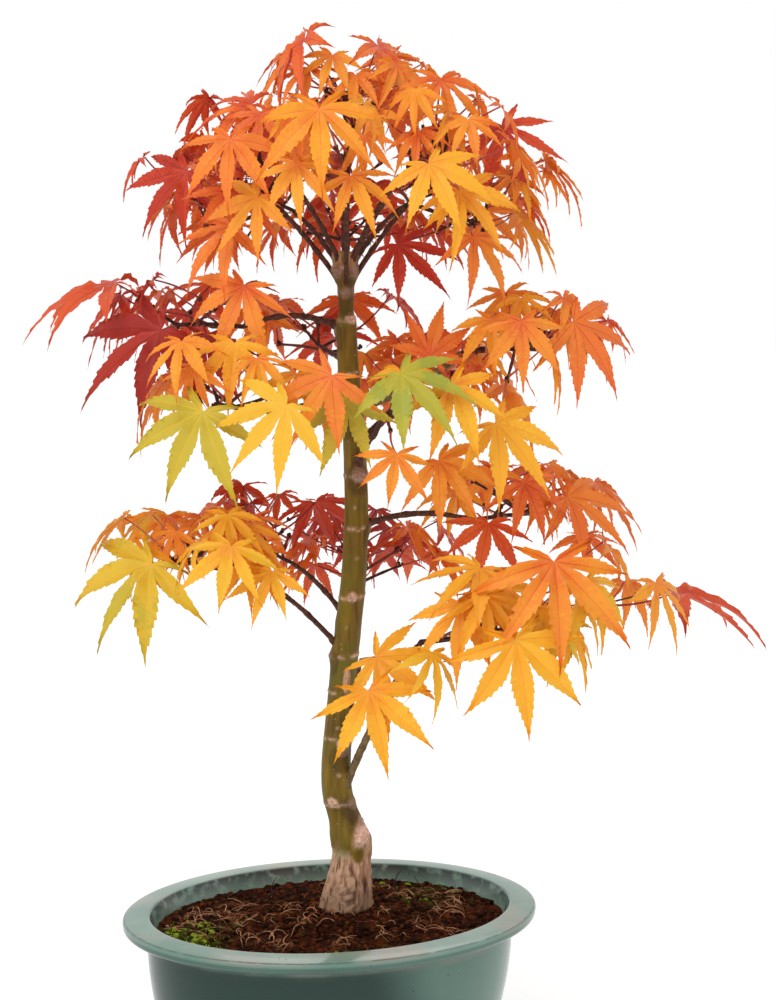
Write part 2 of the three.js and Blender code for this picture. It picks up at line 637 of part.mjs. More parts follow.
// Whether a leaf keeps clear of the limbs, of other masses and of its neighbours.
function fits(leaf, mass, masses, limbs) {
  if (leaf.pieces.some(({ b }) => b.z < POT.height + ROOM.pot)) return false;
  const near = (piece, other, room) => apart(piece, other) < room;
  if (limbs.some((one) => leaf.pieces.some((p) => near(p, one, one.radius + ROOM.limb))))
    return false;
  const blade = leaf.pieces.slice(0, -1);
  for (const other of masses) {
    const own = other === mass;
    const twigs = own ? mass.twigs.filter((one) => one !== mass.sprays[leaf.spray]) : other.twigs;
    const room = TWIG.radius + (own ? 0 : ROOM.limb);
    if (twigs.some((one) => (own ? blade : leaf.pieces).some((p) => near(p, one, room))))
      return false;
    for (const neighbour of other.leaves) {
      const reach = ROOM.far * (leaf.size + neighbour.size);
      if (neighbour.hub.distanceTo(leaf.hub) > reach) continue;
      const sister = own && neighbour.spray === leaf.spray;
      const clash = (ones, others) =>
        ones.some((p) => others.some((one) => near(p, one, own ? ROOM.leaf : ROOM.mass)));
      if (clash(blade, neighbour.pieces)) return false;
      if (clash(leaf.pieces, sister ? neighbour.pieces.slice(0, -1) : neighbour.pieces))
        return false;
    }
  }
  return true;
}

function layOut() {
  const masses = MASSES.map((row) => ({ ...layTwigs(row), leaves: [] }));
  const limbs = [];
  for (const row of MASSES) {
    const points = boughPoints(row);
    for (let k = 1; k < points.length; k++)
      limbs.push({ a: points[k - 1], b: points[k], radius: row.thick });
  }
  for (let height = POT.height; height < TRUNK.top; height += TRUNK.step) {
    const next = Math.min(TRUNK.top, height + TRUNK.step);
    limbs.push({ a: trunkMiddle(height), b: trunkMiddle(next), radius: trunkRadius(height) });
  }
  for (const mass of masses) {
    const kept = mass.sprays.filter((spray) => spray.leader);
    for (const spray of mass.sprays.filter((one) => !one.leader)) {
      const others = masses.filter((other) => other !== mass).flatMap(twigPieces);
      const outer = { a: spray.a.clone().lerp(spray.b, TWIG.outer), b: spray.b };
      const clear =
        others.every((one) => apart(spray, one) > ROOM.twig) &&
        limbs.every((one) => apart(spray, one) > one.radius + ROOM.twig) &&
        [mass.stem, ...kept].every((one) => apart(outer, one) > ROOM.twig);
      if (clear) kept.push(spray);
    }
    mass.sprays = kept;
    mass.twigs = twigPieces(mass);
  }
  // The leading leaves take their places first, with open space over their faces. Then each
  // mass in turn gets one more leaf, at its next twig, until every twig has been round with
  // each of its leaves.
  const place = (mass, massIndex, sprayIndex, leafIndex) => {
    for (let attempt = 0; attempt < TRIES; attempt++) {
      const leaf = tryLeaf(mass, massIndex, sprayIndex, leafIndex, attempt);
      leaf.spray = sprayIndex;
      if (fits(leaf, mass, masses, limbs)) {
        mass.leaves.push(leaf);
        return;
      }
    }
  };
  masses.forEach((mass, massIndex) =>
    mass.sprays.forEach((spray, sprayIndex) => {
      if (spray.leader) place(mass, massIndex, sprayIndex, 0);
    }),
  );
  for (const { hub, normal, size } of masses.flatMap((mass) => mass.leaves)) {
    const a = hub.clone().addScaledVector(normal, LIGHT.from);
    const b = hub.clone().addScaledVector(normal, LIGHT.to);
    limbs.push({ a, b, radius: LIGHT.wide * size });
  }
  const mostSprays = Math.max(...masses.map((mass) => mass.sprays.length));
  for (let leafIndex = 0; leafIndex < SWINGS.length; leafIndex++)
    for (let sprayIndex = 0; sprayIndex < mostSprays; sprayIndex++)
      masses.forEach((mass, massIndex) => {
        const spray = mass.sprays[sprayIndex];
        if (!spray || (spray.leader && leafIndex === 0)) return;
        place(mass, massIndex, sprayIndex, leafIndex);
      });
  return masses;
}

// A leaf on its stalk as one closed solid: a thin star, thickest at its middle, with the
// three-sided stalk growing out of its underside and ending at its twig's middle line.
function leafSolid(leaf) {
  const { node, hub, lobe, side, normal } = leaf;
  const rim = leafRim(leaf.size);
  const points = rim.map(({ angle, length }) => leafPoint(leaf, angle, length));
  const over = points.push(hub.clone().addScaledVector(normal, LEAF.thick / 2)) - 1;

  const along = node.clone().sub(hub).normalize();
  const across = lobe.clone().addScaledVector(along, -along.dot(lobe)).normalize();
  const beside = side.clone().addScaledVector(along, -along.dot(side)).normalize();
  const corners = STALK.corners.map(radians);
  const ring = (middle, one, other) =>
    corners.map((angle) =>
      middle
        .clone()
        .addScaledVector(one, STALK.radius * Math.cos(angle))
        .addScaledVector(other, STALK.radius * Math.sin(angle)),
    );
  const under = hub.clone().addScaledVector(normal, -LEAF.thick / 2);
  const top = points.length;
  points.push(...ring(under, lobe, side), ...ring(node, across, beside));

  const faces = [];
  const nearest = (angle) => (Math.abs(angle) > LEAF.behind ? 0 : angle < 0 ? 1 : 2);
  let last = 0;
  for (let i = 0; i < rim.length; i++) {
    const next = (i + 1) % rim.length;
    faces.push(over, i, next);
    const corner = nearest(next ? (rim[i].angle + rim[next].angle) / 2 : 180);
    if (corner !== last) faces.push(i, top + last, top + corner);
    faces.push(top + corner, next, i);
    last = corner;
  }
  for (let k = 0; k < 3; k++) {
    const next = (k + 1) % 3;
    faces.push(top + next, top + k, top + 3 + k, top + next, top + 3 + k, top + 3 + next);
  }
  faces.push(top + 3, top + 5, top + 4);
  const geometry = new THREE.BufferGeometry().setFromPoints(points);
  geometry.setIndex(faces);
  geometry.computeVertexNormals();
  return solidOf(geometry);
}

// The greatest closed surface of a solid: loose scraps go, and sealed hollows are filled.
function greatest(solid) {
  const volumes = solid.decompose().map((piece) => ({ piece, volume: piece.volume() }));
  return volumes.reduce((best, one) => (one.volume > best.volume ? one : best)).piece;
}

// A twig runs on a little past its end, so that what grows there is rooted in it.
function stretched(from, to, more) {
  return to.clone().addScaledVector(to.clone().sub(from).normalize(), more);
}

function makeMass(mass) {
  const { start, stem, sprays, leaves } = mass;
  const line = [start.a, stem.a, stretched(stem.a, stem.b, STEM.past)];
  const solids = [solidOf(limb(line, Array(3).fill(STEM.radius), STEM.sides))];
  sprays.forEach(({ a, b }, index) => {
    if (!leaves.some((leaf) => leaf.spray === index)) return;
    const twig = limb([a, stretched(a, b, TWIG.past)], [TWIG.radius, TWIG.radius], 3);
    solids.push(solidOf(twig));
  });
  solids.push(...leaves.map(leafSolid));
  return geometryOf(greatest(wasm.Manifold.union(solids)));
}

// ---- The whole part ----------------------------------------------------------------------

function named(name, geometry, colour, roughness) {
  const material = new THREE.MeshStandardMaterial({ color: colour, roughness, metalness: 0 });
  const mesh = new THREE.Mesh(geometry, material);
  mesh.name = name;
  return mesh;
}

function makePlant() {
  const plant = new THREE.Group();
  plant.rotation.z = radians(PLANT_TURN);
  plant.add(named("trunk", makeTrunk(), COLOURS.bark, 0.7));
  const thickTrunk = solidOf(makeTrunk(CLEAR));
  for (const row of MASSES)
    plant.add(named(`bough_${row.name}`, makeBough(row, thickTrunk), COLOURS.bough, 0.75));
  layOut().forEach((mass, index) => {
    const colour = COLOURS.leaves[index % COLOURS.leaves.length];
    plant.add(named(`leaves_${mass.row.name}`, makeMass(mass), colour, 0.55));
  });
  return plant;
}

const tree = new THREE.Group();
tree.add(named("pot", makePot(), COLOURS.glaze, 0.2));
tree.add(named("soil", makeSoil(), COLOURS.soil, 0.95));
tree.add(makePlant());

export default tree;
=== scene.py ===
"""A potted Japanese maple trained as a bonsai, in autumn leaf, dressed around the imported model.

The plant is laid out in millimetres in a frame of its own, in which X runs to the right, Y runs
away from whoever looks at the tree's front, and Z runs up. to_row() turns it in the pot and
brings it to metres. The pot and soil are laid out in the pot's own millimetres.
"""

import math

import bpy
import numpy as np
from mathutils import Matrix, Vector, noise


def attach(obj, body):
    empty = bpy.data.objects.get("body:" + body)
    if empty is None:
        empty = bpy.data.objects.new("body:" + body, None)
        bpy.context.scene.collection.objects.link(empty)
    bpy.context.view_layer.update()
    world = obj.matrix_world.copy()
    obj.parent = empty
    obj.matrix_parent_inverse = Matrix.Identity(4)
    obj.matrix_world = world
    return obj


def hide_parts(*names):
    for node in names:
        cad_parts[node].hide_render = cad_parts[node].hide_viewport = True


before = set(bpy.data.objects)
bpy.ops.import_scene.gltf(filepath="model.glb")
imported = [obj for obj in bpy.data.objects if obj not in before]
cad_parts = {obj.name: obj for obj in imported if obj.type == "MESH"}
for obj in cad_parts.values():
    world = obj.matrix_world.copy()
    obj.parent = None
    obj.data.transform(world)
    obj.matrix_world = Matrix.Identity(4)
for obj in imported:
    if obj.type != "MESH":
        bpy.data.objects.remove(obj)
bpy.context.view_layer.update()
NODES = list(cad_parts)
MASS_NODES = [name for name in NODES if name.startswith("leaves_")]
BOUGH_NODES = [name for name in NODES if name.startswith("bough_")]
BODY = "root"

MM = 0.001
PLANT_TURN = math.radians(-17)
GOLDEN_ANGLE = 137.508
UP = np.array([0.0, 0.0, 1.0])

# ---- Driving dimensions, as the solids have them ------------------------------------------

CLEAR = 0.3
POT = dict(
    length=216, width=172, height=70, rim_width=13.7, rim_drop=1.1, lip=5.6, overhang=12.2,
    wall=6, throat=14, foot_inset=24.5, foot_height=4.5, foot_step=3, bow=2.2, sides=224,
)
SOIL = dict(edge_depth=8.5, mound_depth=4, mound_radius=20, tuck=1.7)
TRUNK = dict(
    foot=13.6, flare_height=26, flare_curve=1.4, lobes=dict(count=5, out=0.1, height=12, turn=1),
    low=8.3, high=5.1, knee_height=103, knee_swell=1.9, knee_reach=7, neck_height=372,
    neck_run=(3, 4), neck=3.7, knob_height=396, knob_run=9, knob=6.6, top=405, step=10,
)
TRUNK_BENDS = [
    (66, 6.5), (100, 9.8), (128, 2.4), (180, 5), (250, 12), (300, 12.2), (350, 8.6), (405, 7.2),
]
TRUNK_BACK = 10
LEAF = dict(
    droop=0.2, cleft=0.24, sinus=0.08,
    lobes=[(-128, 0.42), (-86, 0.76), (-42, 0.95), (0, 1), (42, 0.95), (86, 0.76), (128, 0.42)],
)
STALK = dict(radius=0.5, least=20, spare=14)
STEM = dict(radius=1.6, straight=3, ahead=0.2, under=0.1)
TWIG = dict(radius=1.15, step=3, first=0.06, outer=0.35)
BOUGH = dict(taper=0.72, steps=4, sides=14, joints=(0.45, 0.7, 0.98), olive=2.15)
DOME = dict(aside=0.55, up=0.7, depth=1.35)
SWINGS = (-48, 48, 0)
SWING_FOLLOW = 0.6
OUTWARD = 1.2
CLIMB = dict(least=12, spare=34)
SIZE = dict(least=0.72, spare=0.36)
PLAY = dict(azimuth=50, droop=30, roll=36)
LEADER = dict(last=0.93, step=0.13, stalk=0.6, shift=16, swing=24)
LIGHT = {"from": 12, "to": 40, "wide": 0.25}
ROOM = dict(mass=4, leaf=2.2, limb=3, twig=3.2, pot=2, far=1.1)
TRIES = 50
SEEDS = dict(mass=100003, spray=1009, leaf=101, attempt=7)

# Each mass: height, heading, reach, rise, arch, thick, ahead, lift, half sizes, sprays, droop and
# size as the solids have them, then its autumn tint, from 0, deep red, to 10, green.
MASSES = {
    "front_low": (150, -64, 28, 48, -6, 1.2, 42, 10, (16, 18, 10), 2, 62, 40, 7.0),
    "right_low": (122, -36, 50, 86, 5, 2.2, 48, 16, (34, 40, 18), 9, 58, 44, 5.8),
    "left_low": (199, 188, 44, 40, 4, 1.5, 34, 12, (44, 34, 13), 9, 48, 38, 6.0),
    "back_low": (188, 82, 40, 36, 3, 1.7, 34, 14, (34, 44, 16), 10, 45, 40, 3.2),
    "left_back_low": (216, 136, 40, 26, 3, 1.5, 30, 14, (30, 34, 13), 9, 42, 38, 3.0),
    "right_middle_low": (265, 6, 58, 4, 5, 1.7, 26, 4, (42, 36, 15), 9, 42, 38, 5.0),
    "front_middle": (294, -74, 34, 20, 3, 2, 26, 16, (26, 34, 20), 4, 45, 38, 5.8),
    "right_back_middle": (306, 50, 44, 20, 3, 2, 30, 8, (32, 36, 17), 8, 42, 40, 4.6),
    "left_middle": (322, 218, 44, 4, 4, 1.9, 32, 6, (36, 34, 15), 7, 52, 39, 5.6),
    "right_upper": (326, -14, 58, 28, -3, 2.7, 30, 4, (40, 40, 15), 9, 50, 39, 5.3),
    "back_middle": (342, 104, 40, 12, 3, 1.7, 32, 6, (32, 44, 15), 8, 42, 40, 3.2),
    "left_upper": (366, 181, 50, 3, 6, 1.7, 30, 1, (42, 36, 11), 8, 46, 40, 2.7),
    "crown_left": (386, 180, 32, 40, 2, 1.5, 34, -8, (32, 36, 24), 13, 48, 35, 3.7),
    "crown_left_front": (395, 226, 34, 42, 2, 1.4, 24, 14, (26, 30, 20), 10, 52, 35, 4.3),
    "crown_front": (385, 272, 34, 42, 2, 1.3, 24, 16, (24, 30, 22), 10, 58, 35, 4.8),
    "crown_right_front": (395, 318, 34, 44, 2, 1.8, 28, 12, (26, 30, 22), 10, 52, 35, 4.8),
    "crown_right": (386, -2, 30, 42, 2, 1.5, 36, -6, (30, 36, 24), 12, 48, 35, 5.0),
    "crown_back_right": (393, 50, 38, 34, 3, 1.5, 26, 14, (26, 30, 20), 10, 45, 36, 3.8),
    "crown_back": (385, 93, 38, 28, 3, 1.5, 26, 4, (30, 34, 24), 10, 45, 36, 3.2),
    "crown_back_left": (393, 134, 38, 34, 3, 1.5, 26, 14, (26, 30, 20), 10, 45, 36, 3.2),
    "crown_top": (403, 30, 2, 56, 0, 1.7, 0, 22, (30, 30, 12), 12, 45, 35, 4.6),
}
MASS_WORDS = "height heading reach rise arch thick ahead lift half sprays droop size tint".split()
ROWS = [dict(zip(MASS_WORDS, row), name=name) for name, row in MASSES.items()]

# Each leading leaf: its mass, middle, turn, droop, roll and size as the solids have them, and
# its tint.
LEADERS = [
    ("crown_top", (-16, -16, 505), 202, 50, -6, 42, 3.6),
    ("crown_top", (24, -8, 506), -22, 46, 10, 42, 3.9),
    ("crown_front", (-2, -86, 465), -85, 66, 5, 43, 5.6),
    ("crown_front", (-13, -80, 441), -85, 60, 10, 29, 6.0),
    ("crown_front", (12, -76, 436), -45, 55, 30, 30, 5.8),
    ("crown_left_front", (-44, -64, 454), 255, 65, -5, 36, 4.6),
    ("crown_left_front", (-36, -34, 474), 180, 12, -35, 34, 3.3),
    ("crown_left_front", (-32, -56, 428), 185, 48, -55, 34, 5.6),
    ("crown_left", (-70, -16, 444), 192, 45, -55, 40, 1.6),
    ("crown_left", (-53, -34, 414), 190, 28, -38, 38, 4.4),
    ("crown_right_front", (40, -76, 438), -42, 58, 34, 37, 6.5),
    ("crown_right_front", (62, -70, 430), -15, 47, 52, 38, 6.2),
    ("crown_right_front", (54, -36, 485), -67, 50, 0, 40, 4.6),
    ("crown_right", (85, -10, 467), -20, 60, 58, 42, 2.3),
    ("crown_right", (70, -34, 411), -32, 45, 24, 36, 4.9),
    ("crown_right", (36, -14, 404), -20, 48, 50, 36, 1.4),
    ("left_upper", (-108, -4, 390), 184, 11, -12, 54, 3.1),
    ("left_upper", (-81, -34, 366), 184, 32, -52, 54, 0.7),
    ("left_upper", (-40, -42, 387), 216, 57, -40, 38, 4.8),
    ("left_upper", (-66, -6, 370), 243, 74, -10, 40, 0.9),
    ("left_middle", (-57, -74, 328), 218, 56, -40, 48, 8.5),
    ("left_middle", (-24, -82, 325), 196, 43, -55, 42, 7.2),
    ("left_middle", (3, -78, 345), 200, 53, -55, 40, 4.9),
    ("front_middle", (35, -88, 346), -34, 37, 37, 42, 9.4),
    ("front_middle", (33, -86, 309), -135, 76, -44, 27, 5.3),
    ("front_middle", (12, -72, 326), -135, 60, -46, 38, 8.8),
    ("front_middle", (57, -74, 335), -35, 53, 34, 38, 6.8),
    ("right_upper", (92, -52, 370), -71, 75, 13, 33, 4.9),
    ("right_upper", (119, -34, 370), -10, 48, 50, 44, 4.2),
    ("right_upper", (80, -58, 322), -25, 42, 40, 44, 6.6),
    ("right_upper", (49, -24, 353), 23, -74, 72, 32, 4.4),
    ("right_middle_low", (53, -54, 304), -25, 45, 45, 36, 5.7),
    ("right_middle_low", (96, -26, 291), -45, 51, 24, 32, 4.1),
    ("right_middle_low", (119, -12, 283), -17, 31, 35, 42, 4.3),
    ("right_middle_low", (79, -34, 278), 244, 37, -16, 32, 3.4),
    ("right_low", (105, -92, 260), -71, 72, 10, 56, 5.2),
    ("right_low", (81, -100, 227), -40, 67, 48, 48, 6.7),
    ("right_low", (173, -8, 234), -2, 9, 6, 55, 2.8),
    ("right_low", (72, -76, 255), 225, 22, -20, 38, 6.3),
    ("front_low", (20, -86, 199), -55, 65, 37, 42, 6.8),
    ("front_low", (24, -68, 220), -34, 35, 46, 40, 6.7),
    ("front_low", (44, -76, 206), -24, 47, 42, 42, 6.6),
    ("left_low", (-46, -56, 263), 243, 63, -20, 35, 7.1),
    ("left_low", (-88, -26, 251), 200, 46, -44, 53, 8.3),
    ("left_low", (-27, -48, 250), 229, 55, -30, 28, 6.6),
]

# ---- Looks ----------------------------------------------------------------------------------

# The camera stands in the plant's frame.
CAMERA = dict(place=(29, -911, 360), pitch=-5, lens=64.8)
WORLD = dict(fade=(0.2, 0.55), over=0.62)
LAMPS = [("key", (-500, -900, 1300), 7, 0.9), ("rim", (200, 1100, 1200), 3, 1.0)]
LAMP_AIM = (0, 0, 0.27)
FLOOR = dict(colour="#c9c9c7", glow=0.62, half=60)

# The autumn tints from deep red, 0, to green, 10, at every half. A face takes the nearest.
TINTS = [
    "#8f1f17", "#9d2519", "#ab2c1b", "#b9351e", "#c63f21", "#d24a24", "#db5627", "#e26429",
    "#e7722b", "#ea7f2c", "#ed8b2b", "#ef962a", "#f1a028", "#f3aa27", "#f4b32a", "#ebb52e",
    "#dcb431", "#c8af34", "#b5aa37", "#a2a339", "#909a38",
]
TINT_STEP = (len(TINTS) - 1) / 10
FAMILIES = [
    ("red", 2.4, "leaf_red"), ("scarlet", 3.7, "leaf_scarlet"), ("orange", 4.9, "leaf_orange"),
    ("amber", 6.1, "leaf_amber"), ("yellow", 7.6, "leaf_yellow"), ("green", 99, "leaf_green"),
]


def linear(colour):
    """A colour given as #rrggbb, as the linear numbers that shaders take."""
    shares = [int(colour[i : i + 2], 16) / 255 for i in (1, 3, 5)]
    return [s / 12.92 if s <= 0.04045 else ((s + 0.055) / 1.055) ** 2.4 for s in shares] + [1.0]


class Looks:
    """A material and the nodes that are added to it one by one."""

    def __init__(self, name, colour, roughness):
        self.material = bpy.data.materials.new(name)
        self.material.use_nodes = True
        self.tree = self.material.node_tree
        self.shader = self.tree.nodes["Principled BSDF"]
        self.set("Base Color", linear(colour))
        self.set("Roughness", roughness)
        self.place = self.tree.nodes.new("ShaderNodeTexCoord").outputs["Object"]

    def set(self, socket, value):
        self.shader.inputs[socket].default_value = value
        return self

    def link(self, output, socket):
        self.tree.links.new(output, self.shader.inputs[socket])
        return self

    def noise(self, scale, detail=4, stretch=(1, 1, 1), distort=0):
        """Cloudy noise with about scale patches to the metre."""
        mapping = self.tree.nodes.new("ShaderNodeMapping")
        mapping.inputs["Scale"].default_value = stretch
        self.tree.links.new(self.place, mapping.inputs["Vector"])
        node = self.tree.nodes.new("ShaderNodeTexNoise")
        node.inputs["Scale"].default_value = scale
        node.inputs["Detail"].default_value = detail
        node.inputs["Distortion"].default_value = distort
        self.tree.links.new(mapping.outputs[0], node.inputs["Vector"])
        return node.outputs["Fac"]

    def cells(self, scale):
        node = self.tree.nodes.new("ShaderNodeTexVoronoi")
        node.inputs["Scale"].default_value = scale
        self.tree.links.new(self.place, node.inputs["Vector"])
        return node.outputs["Distance"]

    def attribute(self, name):
        node = self.tree.nodes.new("ShaderNodeAttribute")
        node.attribute_name = name
        return node.outputs["Fac"]

    def span(self, value, start, end, low=0.0, high=1.0):
        """value's run from start to end, spread over low to high and held there."""
        node = self.tree.nodes.new("ShaderNodeMapRange")
        for socket, number in zip(node.inputs[1:5], (start, end, low, high)):
            socket.default_value = number
        self.tree.links.new(value, node.inputs[0])
        return node.outputs[0]

    def sum(self, one, other, kind="ADD"):
        node = self.tree.nodes.new("ShaderNodeMath")
        node.operation = kind
        for socket, value in zip(node.inputs, (one, other)):
            if isinstance(value, (int, float)):
                socket.default_value = value
            else:
                self.tree.links.new(value, socket)
        return node.outputs[0]

    def mix(self, share, one, other):
        """Two colours, each #rrggbb or a node's output, mixed by a share from a node."""
        node = self.tree.nodes.new("ShaderNodeMix")
        node.data_type = "RGBA"
        self.tree.links.new(share, node.inputs[0])
        for socket, value in zip(node.inputs[6:8], (one, other)):
            if isinstance(value, str):
                socket.default_value = linear(value)
            else:
                self.tree.links.new(value, socket)
        return node.outputs[2]

    def bump(self, height, depth, strength=1.0):
        """Relief of about depth millimetres."""
        node = self.tree.nodes.new("ShaderNodeBump")
        node.inputs["Distance"].default_value = depth * MM
        node.inputs["Strength"].default_value = strength
        self.tree.links.new(height, node.inputs["Height"])
        return self.link(node.outputs[0], "Normal")


def leaf_looks(name, colour, roughness=0.5):
    """One plain tint with a fine grain, for leaves and their stalks."""
    looks = Looks(name, colour, roughness).set("Specular IOR Level", 0.32)
    grain = looks.noise(900, 3)
    looks.link(looks.span(grain, 0.3, 0.7, roughness - 0.1, roughness + 0.12), "Roughness")
    return looks.bump(looks.noise(1500, 3, distort=0.5), 0.12, 0.5).material


def glaze_looks():
    """Glossy sea-green glaze, thin and dark along the rim's edges, with specks. Shade, reflections and
    light are also painted into its colour.
    """
    looks = Looks("glaze", "#4f7f74", 0.12)
    looks.set("Coat Weight", 0.1).set("Coat Roughness", 0.06).set("Specular IOR Level", 0.35)
    body = looks.mix(looks.span(looks.noise(14, 5, (1, 1, 0.35)), 0.35, 0.65), "#47685d", "#5c7a6f")
    rim = looks.mix(looks.span(looks.noise(30, 4), 0.35, 0.65), "#76998c", "#8fab9e")
    rim = looks.mix(looks.span(looks.noise(22, 4), 0.5, 0.68), rim, "#a0a296")
    colour = looks.mix(looks.attribute("rim"), body, rim)
    # Painted shade on the lip and under it, and painted shade with a dark reflection over the wall's
    # left part.
    colour = looks.mix(looks.attribute("deep"), colour, "#0b2f28")
    # The inner wall is lifted to a paler teal: painted light against the shade it stands in.
    colour = looks.mix(looks.attribute("inside"), colour, "#93b3a2")
    # A pale grey band under the lip, broken by noise: a painted reflection.
    pale = looks.sum(looks.attribute("reflection_band"), looks.span(looks.noise(40, 4), 0.3, 0.6), "MULTIPLY")
    colour = looks.mix(pale, colour, "#7c7d74")
    broken = looks.span(looks.noise(160, 4), 0.32, 0.5)
    colour = looks.mix(looks.sum(looks.attribute("line"), broken, "MULTIPLY"), colour, "#20202b")
    specks = looks.span(looks.cells(240), 0.1, 0.06)
    rare = looks.span(looks.noise(90, 2), 0.56, 0.6)
    colour = looks.mix(looks.sum(specks, rare, "MULTIPLY"), colour, "#1d1714")
    looks.link(colour, "Base Color")
    looks.link(looks.span(looks.noise(220, 5), 0.35, 0.7, 0.08, 0.2), "Roughness")
    return looks.bump(looks.noise(60, 3), 0.25, 0.35).material


def bark_looks():
    """Olive young bark with pale spots, over tan and brown fibrous bark at the foot."""
    looks = Looks("bark", "#6b6a2c", 0.55).set("Specular IOR Level", 0.25)
    streaks = looks.noise(320, 4, (1, 1, 0.12))
    green = looks.mix(looks.span(streaks, 0.35, 0.68), "#5d460e", "#876c1a")
    green = looks.mix(looks.span(looks.noise(45, 3), 0.48, 0.72), green, "#6b6418")
    rare = looks.span(looks.noise(150, 2), 0.57, 0.62)
    spots = looks.sum(looks.span(looks.cells(330), 0.16, 0.08), rare, "MULTIPLY")
    green = looks.mix(spots, green, "#b7a27c")
    fibres = looks.noise(420, 6, (1, 1, 0.16), 0.6)
    brown = looks.mix(looks.span(fibres, 0.33, 0.52), "#6a3f28", "#d3a888")
    brown = looks.mix(looks.span(looks.noise(90, 4), 0.55, 0.78), brown, "#a09468")
    brown = looks.mix(looks.span(looks.noise(60, 4), 0.54, 0.68), brown, "#a06a48")
    colour = looks.mix(looks.attribute("old"), green, brown)
    scar = looks.mix(looks.span(looks.noise(700, 3), 0.35, 0.65), "#b98a70", "#ecc9b4")
    colour = looks.mix(looks.attribute("scar"), colour, scar)
    # Painted shade in the creases under the boughs and in the knot's grooves, with the knot a little
    # darker and the bark darker towards the foot.
    colour = looks.mix(looks.attribute("dark"), colour, "#2c140a")
    looks.link(colour, "Base Color")
    looks.link(looks.span(streaks, 0.3, 0.7, 0.45, 0.7), "Roughness")
    rough = looks.sum(looks.noise(900, 5, (1, 1, 0.3)), looks.attribute("old"), "MULTIPLY")
    return looks.bump(looks.sum(rough, looks.sum(spots, 0.4, "MULTIPLY")), 0.7, 0.8).material


def wood_looks(name, dark, pale, roughness=0.65):
    """Two colours in streaks, for boughs, twigs, roots, peat and moss."""
    looks = Looks(name, dark, roughness).set("Specular IOR Level", 0.2 if roughness < 0.9 else 0.08)
    streaks = looks.noise(500, 5, (1, 1, 1), 0.4)
    looks.link(looks.mix(looks.span(streaks, 0.35, 0.7), dark, pale), "Base Color")
    looks.link(looks.span(streaks, 0.3, 0.7, roughness - 0.1, roughness + 0.12), "Roughness")
    return looks.bump(looks.noise(1400, 4), 0.3, 0.7).material


def earth_looks():
    """Dark peat, redder in places and mossy in others, with painted shade, nearly black, in its
    hollows.
    """
    looks = Looks("earth", "#2a140b", 0.95).set("Specular IOR Level", 0.08)
    crumbs = looks.noise(700, 8, distort=0.8)
    colour = looks.mix(looks.span(crumbs, 0.35, 0.65), "#120704", "#4a2412")
    colour = looks.mix(looks.span(looks.noise(60, 4), 0.52, 0.66), colour, "#562610")
    moss = looks.mix(looks.span(looks.noise(900, 4), 0.4, 0.6), "#2c2c0c", "#66701f")
    colour = looks.mix(looks.attribute("moss"), colour, moss)
    # Painted shade, nearly black, in the soil's hollows.
    colour = looks.mix(looks.attribute("hollow_shade"), colour, "#0c0503")
    looks.link(colour, "Base Color")
    return looks.bump(crumbs, 1.6, 1.0).material


# ---- Meshes ---------------------------------------------------------------------------------


def to_row(points):
    """Places in the plant's frame, in millimetres, as metres in the part's own frame."""
    points = np.asarray(points, dtype=float)
    cos, sin = math.cos(PLANT_TURN), math.sin(PLANT_TURN)
    turned = points.copy()
    turned[..., 0] = cos * points[..., 0] - sin * points[..., 1]
    turned[..., 1] = sin * points[..., 0] + cos * points[..., 1]
    return turned * MM


def add_mesh(name, points, faces, materials, numbers=None, values=None, smooth=True):
    """A mesh object from N points in metres and M triangles, with a material number for each
    face and named values for each point."""
    faces = np.asarray(faces, dtype=np.int32)
    mesh = bpy.data.meshes.new(name)
    mesh.vertices.add(len(points))
    mesh.vertices.foreach_set("co", np.asarray(points, dtype=np.float32).ravel())
    mesh.loops.add(faces.size)
    mesh.loops.foreach_set("vertex_index", faces.ravel())
    mesh.polygons.add(len(faces))
    mesh.polygons.foreach_set("loop_start", np.arange(0, faces.size, 3, dtype=np.int32))
    mesh.polygons.foreach_set("use_smooth", np.full(len(faces), smooth))
    for material in materials:
        mesh.materials.append(material)
    if numbers is not None:
        mesh.polygons.foreach_set("material_index", np.asarray(numbers, dtype=np.int32))
    for word, numbers_of in (values or {}).items():
        layer = mesh.attributes.new(word, "FLOAT", "POINT")
        layer.data.foreach_set("value", np.asarray(numbers_of, dtype=np.float32))
    mesh.update(calc_edges=True)
    obj = bpy.data.objects.new(name, mesh)
    bpy.context.scene.collection.objects.link(obj)
    return obj


def add_piece(name, slot, replaced, *mesh):
    """A piece of the plant, which rides with it and stands for the named nodes."""
    obj = add_mesh(name, *mesh)
    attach(obj, BODY)
    if replaced:
        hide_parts(*replaced)
    return obj


class Heap:
    """Points and triangles of many small things that end up in one mesh."""

    def __init__(self):
        self.points, self.faces, self.numbers, self.count = [], [], [], 0

    def add(self, points, faces, number=0):
        self.points.append(points)
        self.faces.append(np.asarray(faces) + self.count)
        self.numbers.append(np.full(len(faces), number))
        self.count += len(points)

    def mesh(self):
        return map(np.concatenate, (self.points, self.faces, self.numbers))


def add_heap(name, slot, replaced, heap, looks):
    points, faces, numbers = heap.mesh()
    return add_piece(name, slot, replaced, points, faces, looks, numbers)


def sheet_faces(rows, columns, closed=True):
    """Triangles between rows of columns points. closed joins each row's last to its first."""
    row, column = np.meshgrid(np.arange(rows - 1), np.arange(columns - (not closed)), indexing="ij")
    after = (column + 1) % columns
    a, b = row * columns + column, row * columns + after
    c, d = a + columns, b + columns
    return np.concatenate([np.stack([a, b, d], -1), np.stack([a, d, c], -1)]).reshape(-1, 3)


def closed_ends(rows, columns):
    """Fans that close a tube of rows of columns points, around two points after them all."""
    k = np.arange(columns)
    after = (k + 1) % columns
    last = (rows - 1) * columns
    start = np.stack([np.full(columns, rows * columns), after, k], -1)
    end = np.stack([np.full(columns, rows * columns + 1), last + k, last + after], -1)
    return np.concatenate([start, end])


